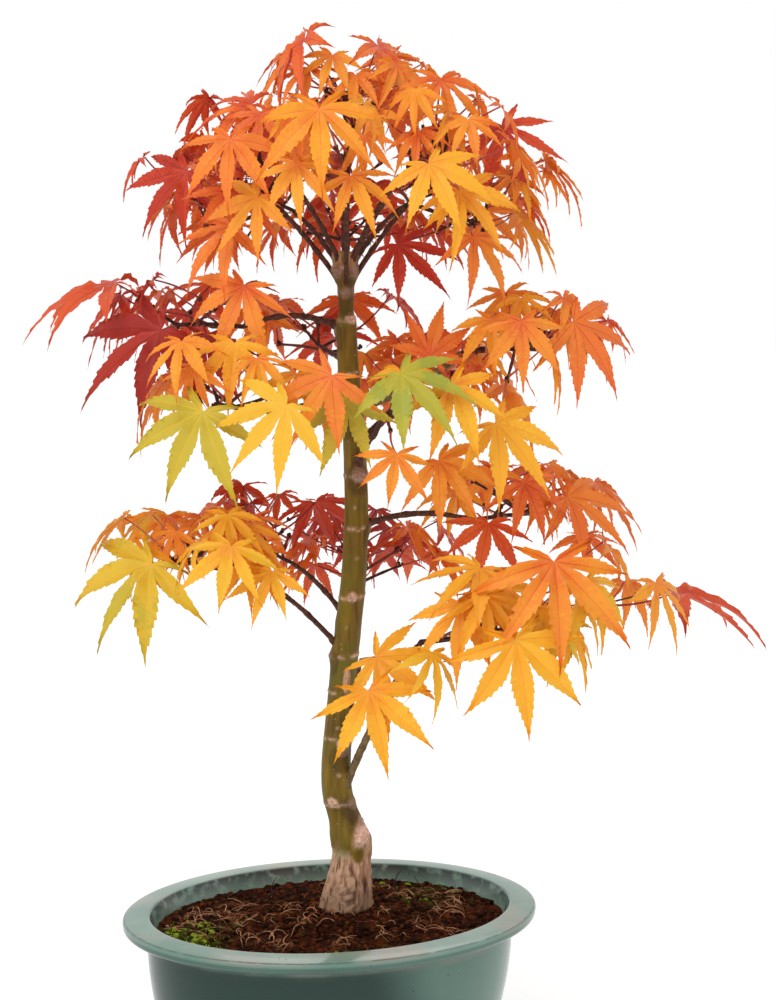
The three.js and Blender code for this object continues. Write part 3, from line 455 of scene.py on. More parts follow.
def tube(line, radii, sides):
    """A closed round limb along a line of points, with a radius for each."""
    line = np.asarray(line, dtype=float)
    radii = np.asarray(radii, dtype=float)
    along = np.gradient(line, axis=0)
    along /= np.linalg.norm(along, axis=1)[:, None]
    across = UP if abs(along[0][2]) < 0.9 else np.array([1.0, 0.0, 0.0])
    angles = 2 * np.pi * np.arange(sides) / sides
    rings = []
    for middle, ahead, radius in zip(line, along, radii):
        across = across - ahead * across.dot(ahead)
        across = across / np.linalg.norm(across)
        third = np.cross(ahead, across)
        ring = np.outer(np.cos(angles), across) + np.outer(np.sin(angles), third)
        rings.append(middle + radius * ring)
    points = np.concatenate(rings + [line[:1], line[-1:]])
    faces = np.concatenate([sheet_faces(len(line), sides), closed_ends(len(line), sides)])
    return points, faces


def smooth(start, end, value):
    """0 at start and 1 at end, easing in and out between them."""
    share = np.clip((value - start) / (end - start), 0, 1)
    return share * share * (3 - 2 * share)


def bell(*shares):
    """1 where every share is 0, falling smoothly to almost nothing at 2."""
    return np.exp(-sum(share**2 for share in shares))


def unit(vector):
    return vector / np.linalg.norm(vector, axis=-1, keepdims=True)


def wander(points, scale, detail=4):
    """Smooth noise from about -1 to 1 at each point, with patches about 1 / scale across."""
    return np.array([noise.fractal(Vector(p) * scale, 1.0, 2.0, detail) for p in points])


# ---- Pot and soil ---------------------------------------------------------------------------


def oval(inset, height, sides):
    """A level oval ring in metres, set in by inset from the pot's greatest outline."""
    angles = 2 * np.pi * np.arange(sides) / sides
    x = (POT["length"] / 2 - inset) * np.cos(angles)
    y = (POT["width"] / 2 - inset) * np.sin(angles)
    return np.stack([x, y, np.full(sides, height)], -1) * MM


def wall_inset(height):
    """How far the pot's wall is set in from its greatest outline at a height."""
    under = POT["height"] - POT["rim_drop"] - POT["lip"]
    share = np.clip((under - height) / (under - POT["foot_height"]), 0, 1)
    taper = POT["foot_inset"] - POT["foot_step"] - POT["overhang"]
    return POT["overhang"] + taper * share ** POT["bow"]


def rounded(corners, steps=5):
    """A line through corners of (inset, height, radius), each rounded by its radius."""
    line = []
    for k, (inset, height, radius) in enumerate(corners):
        corner = np.array([inset, height], dtype=float)
        if radius == 0:
            line.append(corner)
            continue
        before = np.array(corners[k - 1][:2]) - corner
        after = np.array(corners[k + 1][:2]) - corner
        start = corner + before * min(0.49, radius / np.linalg.norm(before))
        end = corner + after * min(0.49, radius / np.linalg.norm(after))
        for share in np.linspace(0, 1, steps):
            low = start + (corner - start) * share
            line.append(low + (corner + (end - corner) * share - low) * share)
    return np.array(line)


# How strongly the glaze is thin along the rim's outer edge, how strongly shade is painted on the lip
# and shade with a dark reflection over the wall's left part, and where that painted part ends to the
# right; the painted pale reflection under the lip sags there.
GLAZE = dict(
    outer_line=0.55, lip=0.3, deep=0.97, deep_run=(5, 48), deep_lean=0.35, middle=30,
    band_sag=2, band_sag_run=60,
)


def make_pot():
    """The pot's foot, wall, rim and inner wall in one turned line, with values for its glaze and for
    the shade, reflection and light painted on it.
    """
    top = POT["height"]
    lip_top = top - POT["rim_drop"]
    lip_foot = lip_top - POT["lip"]
    under = POT["foot_inset"]
    corners = [(under + 8, 0, 0), (under, 0, 0.6), (under - 0.6, POT["foot_height"] - 0.6, 0.8)]
    corners.append((wall_inset(POT["foot_height"]) + 0.4, POT["foot_height"], 0.8))
    for height in np.linspace(POT["foot_height"] + 2, lip_foot - 3, 22):
        corners.append((float(wall_inset(height)), float(height), 0))
    corners += [
        (POT["overhang"], lip_foot + 0.4, 2.2),
        (1.6, lip_foot, 1.6),
        (0, lip_foot + 1.8, 1.4),
        (0, lip_top - 0.6, 1.2),
        (1.2, lip_top + 0.1, 0.8),
        (POT["rim_width"], top, 1.4),
        (POT["overhang"] + POT["wall"], top - POT["throat"], 3),
        (POT["overhang"] + POT["wall"] + 0.6, top - POT["throat"] - 6, 0),
    ]
    line = rounded(corners)
    rings = np.concatenate([oval(inset, height, POT["sides"]) for inset, height in line])
    inset, height = np.repeat(line, POT["sides"], axis=0).T
    upper = height > lip_foot + 0.2
    outside = np.repeat(np.arange(len(line)) < np.argmax(line[:, 1] > lip_foot + 0.2), POT["sides"])
    rim = upper * smooth(-1, 1, inset) * smooth(lip_foot, lip_top, height) * (height > top - 3)
    outer = bell((inset - 0.9) / 0.4) * (height > lip_top - 0.5)
    inner = bell((height - top + 1.1) / 0.6) * (inset > POT["rim_width"] - 0.6)
    across = rings[:, 0] / MM
    sag = GLAZE["band_sag"] * smooth(0, GLAZE["band_sag_run"], across)
    leaning = across + GLAZE["deep_lean"] * (height - GLAZE["middle"])
    # Painted shade and dark reflection over the outer wall's left part, its edge leaning with height,
    # fading out just under the lip.
    deep = outside * (1 - smooth(*GLAZE["deep_run"], leaning))
    deep = deep * smooth(lip_foot - 2, lip_foot - 6, height)
    # Painted shade along the lip's lower edge and just under it, together with the lip's own darker
    # teal-grey.
    lip = smooth(lip_foot - 3, lip_foot - 1, height) * smooth(lip_top, lip_foot + 1, height)
    behind_rim = inset > POT["rim_width"] - 0.3
    values = {
        "rim": rim,
        "deep": GLAZE["deep"] * np.maximum(deep, GLAZE["lip"] * lip),
        "line": np.clip(GLAZE["outer_line"] * outer + inner, 0, 1),
        # The painted pale reflection just under the lip, sagging lower to the right.
        "reflection_band": smooth(lip_foot - 6, lip_foot - 3, height + sag) * outside,
        # Where painted light lifts the inner wall below the rim.
        "inside": ~outside * behind_rim * smooth(top - 1.2, top - 2.4, height),
    }
    faces = sheet_faces(len(line), POT["sides"])
    base = np.array([[0, 0, 0]])
    k = np.arange(POT["sides"])
    fan = np.stack([np.full(POT["sides"], len(rings)), (k + 1) % POT["sides"], k], -1)
    points = np.concatenate([rings, base])
    values = {word: np.append(value, 0) for word, value in values.items()}
    faces = np.concatenate([faces, fan])
    add_piece("pot_glazed", "glaze", ["pot"], points, faces, [glaze_looks()], None, values)


def soil_spot(x, y):
    """How far a place over the pot, in millimetres, is from the mound to the pot's wall, 0 to 1,
    and the soil's height there."""
    trunk = to_row([[trunk_right(70), TRUNK_BACK, 0]])[0] / MM
    edge = POT["overhang"] + POT["wall"] - SOIL["tuck"]
    long, wide = POT["length"] / 2 - edge, POT["width"] / 2 - edge
    out = np.sqrt((x / long) ** 2 + (y / wide) ** 2)
    near = np.hypot(x - trunk[0], y - trunk[1])
    mound = 1 - smooth(SOIL["mound_radius"], 62, near)
    height = POT["height"] - SOIL["edge_depth"] + (SOIL["edge_depth"] - SOIL["mound_depth"]) * mound
    return out, height - 0.6 * smooth(0.8, 1.0, out)


# Where moss grows: each patch's middle and half sizes on the soil, and how thick it is.
MOSS_PATCHES = [
    (-77, -14, 20, 30, 1), (58, 22, 34, 40, 0.62), (-8, -56, 60, 12, 0.5), (-44, 8, 24, 16, 0.35),
]
BRIGHT_MOSS_EDGE = -62


def mossy(x, y):
    return sum(
        thick * bell((x - right) / long, (y - back) / wide)
        for right, back, long, wide, thick in MOSS_PATCHES
    )


SOIL_MESH = dict(rings=74, sides=240, lumps=1.9, small_lumps=1.2, moss_height=0.8)


def make_soil(draw):
    """The soil's lumpy surface, and all that lies on it."""
    rings, sides = SOIL_MESH["rings"], SOIL_MESH["sides"]
    share = np.linspace(0, 1, rings) ** 0.9
    angles = 2 * np.pi * np.arange(sides) / sides
    edge = POT["overhang"] + POT["wall"] - SOIL["tuck"] + CLEAR
    x = np.outer(share, (POT["length"] / 2 - edge) * np.cos(angles)).ravel()
    y = np.outer(share, (POT["width"] / 2 - edge) * np.sin(angles)).ravel()
    out, height = soil_spot(x, y)
    flat = np.stack([x, y, np.zeros(len(x))], -1)
    lumps = SOIL_MESH["lumps"] * wander(flat, 0.11) + SOIL_MESH["small_lumps"] * wander(flat, 0.42)
    height = height + lumps * (1 - 0.5 * smooth(0.9, 1, out))
    moss = np.clip(mossy(x, y) * 1.1 - 0.4 + 0.7 * wander(flat, 0.2), 0, 1)
    # Painted shade in the low places between the lumps.
    hollow_shade = np.clip(-0.3 - lumps * 0.7, 0, 1)
    points = np.stack([x, y, height + moss * SOIL_MESH["moss_height"]], -1) * MM
    faces = sheet_faces(rings, sides)
    values = {"moss": moss, "hollow_shade": hollow_shade}
    add_piece("soil_surface", "soil", ["soil"], points, faces, [earth_looks()], None, values)
    make_crumbs(draw)
    make_fibres(draw)


def lump():
    """A ball of 20 faces, as points and triangles."""
    gold = (1 + 5**0.5) / 2
    points = [(0, a, b * gold) for a in (-1, 1) for b in (-1, 1)]
    points += [(a, b * gold, 0) for a in (-1, 1) for b in (-1, 1)]
    points += [(b * gold, 0, a) for a in (-1, 1) for b in (-1, 1)]
    points = np.array(points, dtype=float)
    faces = []
    for i in range(12):
        for j in range(i + 1, 12):
            for k in range(j + 1, 12):
                sides = [np.linalg.norm(points[a] - points[b]) for a, b in ((i, j), (j, k), (i, k))]
                if max(sides) < 2.1:
                    outward = np.cross(points[j] - points[i], points[k] - points[i]).dot(points[i])
                    faces.append((i, j, k) if outward > 0 else (i, k, j))
    return points / np.linalg.norm(points[0]), np.array(faces)


def spot_in_pot(draw, most=0.985):
    """A random place on the soil, not past this share of the way to the pot's wall."""
    while True:
        x = (draw() * 2 - 1) * POT["length"] / 2
        y = (draw() * 2 - 1) * POT["width"] / 2
        out, height = soil_spot(x, y)
        if out < most:
            return x, y, float(height)


def moss_kind(draw, x):
    """Bright moss for the left patch, and here and there; dark moss for the rest."""
    return 0 if draw() < (0.6 if x < BRIGHT_MOSS_EDGE else 0.12) else 1


CRUMBS = dict(count=4200, least=0.5, spare=1.7, stones=0.0015, stone_size=0.8)
TUFTS = dict(count=5200, least=0.9, spare=1.5, half_width=0.28)
PEAT_LOOKS = [
    ("peat_dark", "#140804", "#331809", 0.95), ("peat_red", "#381708", "#6b3616", 0.95),
    ("peat_brown", "#1f0d06", "#472310", 0.95), ("grit", "#a5907c", "#d8c9b6", 0.8),
]
MOSS_LOOKS = [
    ("moss_bright", "#6d8a1a", "#a0b534", 0.9), ("moss_dark", "#2c3009", "#5e651b", 0.9),
]


def make_crumbs(draw):
    """Crumbs of peat, tufts of moss and a few pale stones, all lying on the soil."""
    ball, faces = lump()
    peat, moss = Heap(), Heap()
    for _ in range(CRUMBS["count"]):
        x, y, height = spot_in_pot(draw)
        green = mossy(x, y) > 0.3 + 0.7 * draw()
        stone = not green and draw() < CRUMBS["stones"]
        size = CRUMBS["least"] + CRUMBS["spare"] * draw() ** 2 + (CRUMBS["stone_size"] if stone else 0)
        shape = np.array([0.7 + 0.6 * draw(), 0.7 + 0.6 * draw(), 0.5 + 0.4 * draw()])
        turn = draw() * 2 * math.pi
        cos, sin = math.cos(turn), math.sin(turn)
        spin = np.array([[cos, -sin, 0], [sin, cos, 0], [0, 0, 1]])
        bumps = 1 + 0.25 * np.array([draw() - 0.5 for _ in range(len(ball))])
        place = np.array([x, y, height + 0.25 * size])
        points = (place + (ball * bumps[:, None] * size * shape) @ spin.T) * MM
        if green:
            moss.add(points, faces, moss_kind(draw, x))
        else:
            peat.add(points, faces, 3 if stone else int(draw() * 2.99))
    for _ in range(TUFTS["count"]):
        x, y, height = spot_in_pot(draw)
        if mossy(x, y) < 0.3 + 0.7 * draw():
            continue
        long = TUFTS["least"] + TUFTS["spare"] * draw()
        lean, turn = 0.7 * draw(), draw() * 2 * math.pi
        foot = np.array([x, y, height])
        ahead = np.array([math.cos(turn), math.sin(turn), 0])
        side = np.array([-ahead[1], ahead[0], 0]) * TUFTS["half_width"]
        top = foot + UP * long * (1 - 0.4 * lean) + ahead * long * lean
        middle = (foot + top) / 2 + UP * 0.2 * long
        points = np.array([foot - side, foot + side, middle + side, middle - side, top]) * MM
        moss.add(points, [(0, 1, 2), (0, 2, 3), (3, 2, 4)], moss_kind(draw, x))
    add_heap("soil_crumbs", "soil", ["soil"], peat, [wood_looks(*one) for one in PEAT_LOOKS])
    add_heap("soil_moss", "soil", ["soil"], moss, [wood_looks(*one) for one in MOSS_LOOKS])


FIBRES = dict(clumps=34, least=5, spare=9, spread=9, lone=26, sticks=7)
FIBRE_LOOKS = [
    ("root_tan", "#9a6544", "#d8a880", 0.8), ("root_brown", "#5a3019", "#97603c", 0.8),
    ("root_dark", "#1d0f0a", "#3f2519", 0.8),
]


def lay_fibre(draw, x, y, turn, kind):
    """A line over the soil from a place, with its radius: a curly fibre, or a stick that stands."""
    standing = kind == "stick"
    curl = (draw() - 0.5) * (0.25 if standing else 0.7)
    step, steps = (1.5, 10) if standing else (0.8 + 0.9 * draw(), 7 + int(6 * draw()))
    arch = 0.8 + 2.6 * draw() ** 2
    line = []
    for k in range(steps):
        share = k / (steps - 1)
        out, ground = soil_spot(x, y)
        if out > 0.96:
            break
        rise = share * step * steps * 0.55 if standing else arch * math.sin(math.pi * share)
        line.append((x, y, float(ground) + 0.6 + rise))
        turn += curl + (draw() - 0.5) * (0.3 if standing else 0.8)
        x, y = x + step * math.cos(turn), y + step * math.sin(turn)
    thick = 0.45 if standing else 0.16 + 0.22 * draw()
    return line, thick


def make_fibres(draw):
    """Clumps of short curly tan roots on the soil, some that lie alone, and a few dark sticks."""
    heap = Heap()
    starts = []
    for _ in range(FIBRES["clumps"]):
        x, y, _ = spot_in_pot(draw, 0.92)
        for _ in range(FIBRES["least"] + int(FIBRES["spare"] * draw())):
            spread = FIBRES["spread"]
            starts.append((x + (draw() - 0.5) * spread, y + (draw() - 0.5) * spread, "curl"))
    for kind, count in (("curl", FIBRES["lone"]), ("stick", FIBRES["sticks"])):
        for _ in range(count):
            x, y, _ = spot_in_pot(draw, 0.9)
            starts.append((x, y if kind == "curl" else abs(y) * 0.6 + 18, kind))
    for x, y, kind in starts:
        line, thick = lay_fibre(draw, x, y, draw() * 2 * math.pi, kind)
        if len(line) < 4:
            continue
        points, faces = tube(line, thick * (1 - 0.6 * np.linspace(0, 1, len(line))), 5)
        heap.add(points * MM, faces, 2 if kind == "stick" else int(draw() * 1.99))
    add_heap("soil_roots", "soil", ["soil"], heap, [wood_looks(*one) for one in FIBRE_LOOKS])


# ---- Trunk and boughs -----------------------------------------------------------------------


def trunk_line():
    """The trunk's middle as (heights, how far right), by centripetal Catmull-Rom through its bends."""
    bends = np.array([(right, height) for height, right in TRUNK_BENDS], dtype=float)
    ends = np.vstack([2 * bends[0] - bends[1], bends, 2 * bends[-1] - bends[-2]])
    heights, rights = [], []
    for k in range(len(bends) - 1):
        p0, p1, p2, p3 = ends[k : k + 4]
        d0, d1, d2 = (np.linalg.norm(b - a) ** 0.5 for a, b in ((p0, p1), (p1, p2), (p2, p3)))
        start = ((p1 - p0) / d0 - (p2 - p0) / (d0 + d1) + (p2 - p1) / d1) * d1
        end = ((p2 - p1) / d1 - (p3 - p1) / (d1 + d2) + (p3 - p2) / d2) * d1
        for t in np.linspace(0, 1, 400, endpoint=k == len(bends) - 2):
            spot = p1 + start * t + (3 * (p2 - p1) - 2 * start - end) * t**2
            spot = spot + (2 * (p1 - p2) + start + end) * t**3
            rights.append(spot[0])
            heights.append(spot[1])
    return np.array(heights), np.array(rights)


TRUNK_HEIGHTS, TRUNK_RIGHTS = trunk_line()


def trunk_right(height):
    return np.interp(height, TRUNK_HEIGHTS, TRUNK_RIGHTS)


def trunk_middle(height):
    return np.array([trunk_right(height), TRUNK_BACK, height])


def trunk_radius(height):
    """The trunk's radius: its taper with the flare, the knee's swelling, the neck and the knob."""
    foot = POT["height"] - SOIL["mound_depth"]
    climb = (height - foot) / (TRUNK["neck_height"] - foot)
    radius = TRUNK["low"] + (TRUNK["high"] - TRUNK["low"]) * climb
    flare = np.maximum(height - foot, 0) / TRUNK["flare_height"]
    radius = radius + (TRUNK["foot"] - TRUNK["low"]) * np.exp(-(flare ** TRUNK["flare_curve"]))
    knee = (height - TRUNK["knee_height"]) / TRUNK["knee_reach"]
    radius = radius + TRUNK["knee_swell"] * np.exp(-(knee**2))
    under, over = TRUNK["neck_run"]
    neck = smooth(TRUNK["neck_height"] - under, TRUNK["neck_height"] + over, height)
    radius = radius + (TRUNK["neck"] - radius) * neck
    knob = smooth(TRUNK["knob_height"] - TRUNK["knob_run"], TRUNK["knob_height"], height)
    return radius + (TRUNK["knob"] - radius) * knob


# Old scars that ring the trunk: height, how far the ring tilts, how wide it is.
SCAR_RINGS = [
    (122.5, 1.5, 1.1), (154.2, -1.8, 1.0), (181, 1.0, 0.8), (199.5, 0.8, 1.3), (230.2, 1.4, 1.2),
    (265.5, 0.6, 1.3), (293, 1.5, 1.4), (323, -1, 1.0), (345, 1, 0.9), (372.4, 0.8, 1.6), (397, 0, 2.0),
]
# Knots on the bark: height, heading, how far they stand out, how wide.
KNOTS = [
    (123, 250, 1.6, 3.0), (154, 290, 1.8, 3.0), (137, 282, 0.8, 1.4), (162, 268, 0.6, 1.2),
    (230, 272, 1.5, 2.8), (372, 300, 1.2, 3.0), (292, 285, 1.6, 3.4), (250, 280, 0.6, 1.2),
    (180, 240, 0.7, 1.4), (214, 262, 0.5, 1.0), (276, 266, 0.6, 1.1), (335, 258, 0.6, 1.3),
]
BARK = dict(sides=84, step=0.9, sunk=2, relief=0.8, young_relief=0.2, old_from=93, old_to=103)
COLLAR = dict(out=1.5, wide=4.2, crowd_height=380, crowded=0.35)
# The round knot where a root or low limb was cut, at the foot's front; a flap of old bark; the
# callus over the old bark's edge, which climbs as it goes round; and a patch of young bark in it.
KNOT = dict(heading=276, height=75, wide=8.5, out=2.2, ring_out=0.5, ring_step=1.15)
FLAP = dict(heading=288, height=187, turn=17, rise=8, out=0.9)
CALLUS = dict(heading=322, turn=50, height=105, climb=0.13, climb_from=300, rise=6.5)
PATCH = dict(heading=292, height=96, turn=20, rise=5)
RADIAN = 57.3


def turned_from(angle, heading):
    """How far angle is from heading, both in degrees."""
    return np.abs((angle - heading + 180) % 360 - 180)


def round_bark(angle, heading, radius):
    """How far round the bark, in millimetres, angle is from heading."""
    return turned_from(angle, heading) / RADIAN * radius


def mark(angle, height, spot):
    """A soft oval mark on the bark, 1 at its middle."""
    across = turned_from(angle, spot["heading"]) / spot["turn"]
    return bell(across, (height - spot["height"]) / spot["rise"])


def scar_marks(place, angle, height, radius):
    """How far old rings, knots and the boughs' collars stand out, how pale they are, and how much
    shade is painted into the creases under the boughs."""
    out, scar, dark = (np.zeros(len(height)) for _ in range(3))
    for ring_height, tilt, wide in SCAR_RINGS:
        middle = ring_height + tilt * np.cos(np.radians(angle) - 1) + 0.5 * wander(place, 0.5, 2)
        ring = bell((height - middle) / (0.75 * wide))
        broken = smooth(-0.4, 0.4, wander(place + ring_height, 0.28, 2) + 0.2)
        out = out + 0.5 * ring * broken
        scar = np.maximum(scar, 0.8 * ring * broken)
    broken_up = smooth(-0.9, 0.1, wander(place, 0.7, 3))
    for knot_height, heading, stand, wide in KNOTS:
        bump = bell(round_bark(angle, heading, radius) / wide, (height - knot_height) / wide)
        out = out + stand * bump * (1 + 0.35 * wander(place, 0.8))
        scar = np.maximum(scar, min(0.9, 0.3 * wide) * smooth(0.25, 0.6, bump) * broken_up)
    for row in ROWS:
        heading, over = row["heading"], height - row["height"]
        away = round_bark(angle, heading, radius) ** 2 + over**2
        bump = np.exp(-away / COLLAR["wide"] ** 2)
        crowded = COLLAR["crowded"] if row["height"] > COLLAR["crowd_height"] else 1.0
        out = out + COLLAR["out"] * bump * crowded
        scar = np.maximum(scar, 0.5 * smooth(0.4, 0.8, bump))
        # Painted shade in the crease under each bough.
        crotch_shade = np.exp(-(away + 8 * (over - 4)) / 14) * (turned_from(angle, heading) < 60)
        dark = np.maximum(dark, 0.45 * np.clip(crotch_shade, 0, 1))
    return out, scar, dark


def make_trunk():
    """The trunk's bark: fibrous below, smooth and ringed above, with its root flare."""
    foot = POT["height"] - SOIL["mound_depth"] + CLEAR - BARK["sunk"]
    heights = np.arange(foot, TRUNK["top"] + 0.5, BARK["step"])
    sides = BARK["sides"]
    angle = np.tile(np.arange(sides) * 360 / sides, len(heights))
    height = np.repeat(heights, sides)
    radius = trunk_radius(height)
    turn = np.radians(angle)
    ridges = TRUNK["lobes"]
    lobes = ridges["out"] * np.exp(-(height - foot) / ridges["height"])
    lobes = lobes * np.cos(ridges["count"] * turn + ridges["turn"])
    radius = radius * (1 + lobes)
    round_place = np.stack([np.cos(turn) * radius, np.sin(turn) * radius, height], -1)
    edge = height + 5 * wander(round_place, 0.12) - 5 * (turned_from(angle, 0) < 60)
    old = 1 - smooth(BARK["old_from"], BARK["old_to"], edge)
    patch = mark(angle, height, PATCH)
    callus = mark(angle, height - CALLUS["climb"] * (angle - CALLUS["climb_from"]), CALLUS)
    grain = round_place * [1, 1, 0.16]
    furrows = wander(grain, 0.95, 5)
    out = BARK["relief"] * old * furrows + BARK["young_relief"] * (1 - old) * wander(grain, 0.35)
    out = out + callus * (1.1 + 0.9 * wander(round_place, 0.55))
    marks, scar, dark = scar_marks(round_place, angle, height, radius)
    out = out + marks
    reach = np.hypot(round_bark(angle, KNOT["heading"], radius), (height - KNOT["height"]) * 0.9)
    knot = bell(reach / KNOT["wide"])
    rings = np.cos(reach * KNOT["ring_step"] + 2.6 * wander(round_place, 0.3, 3))
    out = out + KNOT["out"] * knot + KNOT["ring_out"] * knot * rings
    # The cut knot is a little darker all over, with painted shade in the sunk grooves between its
    # rings.
    dark = np.maximum(dark, knot * (0.36 + 0.4 * smooth(0.1, -0.8, rings)))
    # The bark is darker towards its foot: much darker where it meets the soil, and somewhat darker up
    # to a wavy edge about 26 mm higher.
    dark = np.maximum(dark, 0.8 * (1 - smooth(foot, foot + 6, height)))
    dark_foot_edge = height + 5 * wander(round_place, 0.2)
    dark = np.maximum(dark, 0.42 * (1 - smooth(foot + 4, foot + 26, dark_foot_edge)))
    flap = smooth(0.35, 0.6, mark(angle, height, FLAP) + 0.12 * wander(round_place, 0.5))
    out = out + FLAP["out"] * flap
    top = smooth(390, 402, height)
    out = out + top * 0.8 * wander(round_place, 0.4)
    old = np.clip(np.maximum(old * (1 - smooth(0.3, 0.6, patch)), flap), 0, 1)
    old = np.maximum(old, 0.55 * top)
    scar = np.maximum(scar, smooth(0.3, 0.7, callus))
    middle = np.stack([trunk_right(height), np.full(len(height), TRUNK_BACK), height], -1)
    away = np.stack([np.cos(turn), np.sin(turn), np.zeros(len(turn))], -1)
    points = middle + away * (radius + out)[:, None]
    points = np.vstack([points, trunk_middle(heights[0]), trunk_middle(heights[-1] + 1.2)])
    faces = np.concatenate([sheet_faces(len(heights), sides), closed_ends(len(heights), sides)])
    values = {"old": old, "scar": np.clip(scar, 0, 1), "dark": np.clip(dark, 0, 1)}
    values = {word: np.append(value, value[[0, -1]]) for word, value in values.items()}
    add_piece("trunk_bark", "bark", ["trunk"], to_row(points), faces, [bark_looks()], None, values)


def bough_points(row, steps=BOUGH["steps"]):
    """A bough's middle line, from the trunk's middle to its tip."""
    share = np.linspace(0, 1, steps + 1)[:, None]
    climb = row["rise"] * share + row["arch"] * 4 * share * (1 - share)
    onward = direction(row["heading"], 0) * row["reach"] * share
    return trunk_middle(row["height"]) + onward + UP * climb


def make_boughs():
    """Every bough as one tapering limb with a collar, rings and small buds' bumps."""
    heap = Heap()
    for row in ROWS:
        steps = max(18, int(2 * np.hypot(row["reach"], row["rise"]) / 3))
        line = bough_points(row, steps)
        share = np.linspace(0, 1, steps + 1)
        run = share * np.hypot(row["reach"], row["rise"])
        radii = row["thick"] * (1 + (BOUGH["taper"] - 1) * share)
        start = trunk_radius(row["height"])
        radii = radii * (1 + 0.35 * bell((run - start) / 3.5))
        for joint in BOUGH["joints"]:
            radii = radii + 0.35 * bell((share - joint) / 0.03)
        points, faces = tube(line, radii, BOUGH["sides"])
        relief = 0.22 * wander(points, 0.5)
        middle = np.concatenate([np.repeat(line, BOUGH["sides"], axis=0), line[:1], line[-1:]])
        points = points + (points - middle) * relief[:, None]
        heap.add(to_row(points), faces, int(row["thick"] < BOUGH["olive"]))
    looks = [
        wood_looks("bough_olive", "#5c4a2c", "#8a7350"),
        wood_looks("bough_dark", "#3c221a", "#6a4636"),
    ]
    add_heap("boughs_bark", "bough", BOUGH_NODES, heap, looks)


# ---- How the foliage is laid out: the solids' own rule --------------------------------------


def direction(azimuth, elevation):
    azimuth, elevation = math.radians(azimuth), math.radians(elevation)
    flat = math.cos(elevation)
    return np.array([flat * math.cos(azimuth), flat * math.sin(azimuth), math.sin(elevation)])


def seeded(seed):
    """The same row of numbers between 0 and 1 for the same seed."""
    whole = 0xFFFFFFFF
    state = seed & whole

    def draw():
        nonlocal state
        state = (state + 0x6D2B79F5) & whole
        mixed = ((state ^ (state >> 15)) * (state | 1)) & whole
        mixed ^= (mixed + (((mixed ^ (mixed >> 7)) * (mixed | 61)) & whole)) & whole
        return (mixed ^ (mixed >> 14)) / 4294967296

    return draw


def apart(ones, others):
    """The least distance between each of m straight pieces and each of n, given as ends m×2×3."""
    ones, others = ones[:, None], others[None, :]
    along, across = ones[..., 1, :] - ones[..., 0, :], others[..., 1, :] - others[..., 0, :]
    between = ones[..., 0, :] - others[..., 0, :]
    aa, cc, ac = (along**2).sum(-1), (across**2).sum(-1), (along * across).sum(-1)
    ab, cb = (along * between).sum(-1), (across * between).sum(-1)
    spread = aa * cc - ac * ac
    safe = np.where(spread > 1e-9, spread, 1)
    s = np.where(spread > 1e-9, np.clip((ac * cb - ab * cc) / safe, 0, 1), 0)
    t = (ac * s + cb) / cc
    s = np.where(t < 0, np.clip(-ab / aa, 0, 1), np.where(t > 1, np.clip((ac - ab) / aa, 0, 1), s))
    t = np.clip(t, 0, 1)
    return np.linalg.norm(between + along * s[..., None] - across * t[..., None], axis=-1)


def lay_twigs(row):
    """A mass's stem and its sprays, each spray as its two ends and its leading leaf if it has one."""
    points = bough_points(row)
    tip = points[-1]
    onward = unit(tip - points[-2])
    start = tip + onward * CLEAR
    ahead = direction(row["heading"], 0)
    side = np.cross(UP, ahead)
    middle = tip + ahead * row["ahead"] + UP * row["lift"]
    root = start + onward * STEM["straight"]
    half = row["half"]
    stem_end = middle + ahead * STEM["ahead"] * half[0] - UP * STEM["under"] * half[2]
    sprays = []
    for k in range(row["sprays"]):
        climb = 1 - (k + 0.5) / row["sprays"] * DOME["depth"]
        flat = math.sqrt(max(0, 1 - climb * climb))
        around = math.radians(k * GOLDEN_ANGLE)
        end = middle + ahead * DOME["aside"] * half[0] * flat * math.cos(around)
        end = end + side * DOME["aside"] * half[1] * flat * math.sin(around)
        end = end + UP * DOME["up"] * half[2] * climb
        share = TWIG["first"] + (1 - TWIG["first"]) * (row["sprays"] - 0.5 - k) / row["sprays"]
        sprays.append(dict(ends=np.array([root + (stem_end - root) * share, end]), leader=None))
    leaders = [one for one in LEADERS if one[0] == row["name"]]
    for k, leader in enumerate(leaders):
        hub = np.array(leader[1], dtype=float)
        start_of = root + (stem_end - root) * (LEADER["last"] - LEADER["step"] * k)
        inward = start_of - hub
        stalk = min(LEADER["stalk"] * np.linalg.norm(inward), STALK["least"] + STALK["spare"])
        sprays.append(dict(ends=np.array([start_of, hub + unit(inward) * stalk]), leader=leader))
    start, stem = np.array([start, root]), np.array([root, stem_end])
    return dict(row=row, start=start, stem=stem, sprays=sprays, leaves=[])


RIM_ANGLES, RIM_LENGTHS = [-180.0], [LEAF["sinus"]]
for (lobe_angle, lobe_length), following in zip(LEAF["lobes"], LEAF["lobes"][1:] + [None]):
    RIM_ANGLES.append(lobe_angle)
    RIM_LENGTHS.append(lobe_length)
    if following:
        RIM_ANGLES.append((lobe_angle + following[0]) / 2)
        RIM_LENGTHS.append(LEAF["cleft"])
RIM = np.stack(
    [
        np.array(RIM_LENGTHS) * np.cos(np.radians(RIM_ANGLES)),
        np.array(RIM_LENGTHS) * np.sin(np.radians(RIM_ANGLES)),
        -LEAF["droop"] * np.array(RIM_LENGTHS) ** 2,
    ],
    -1,
)


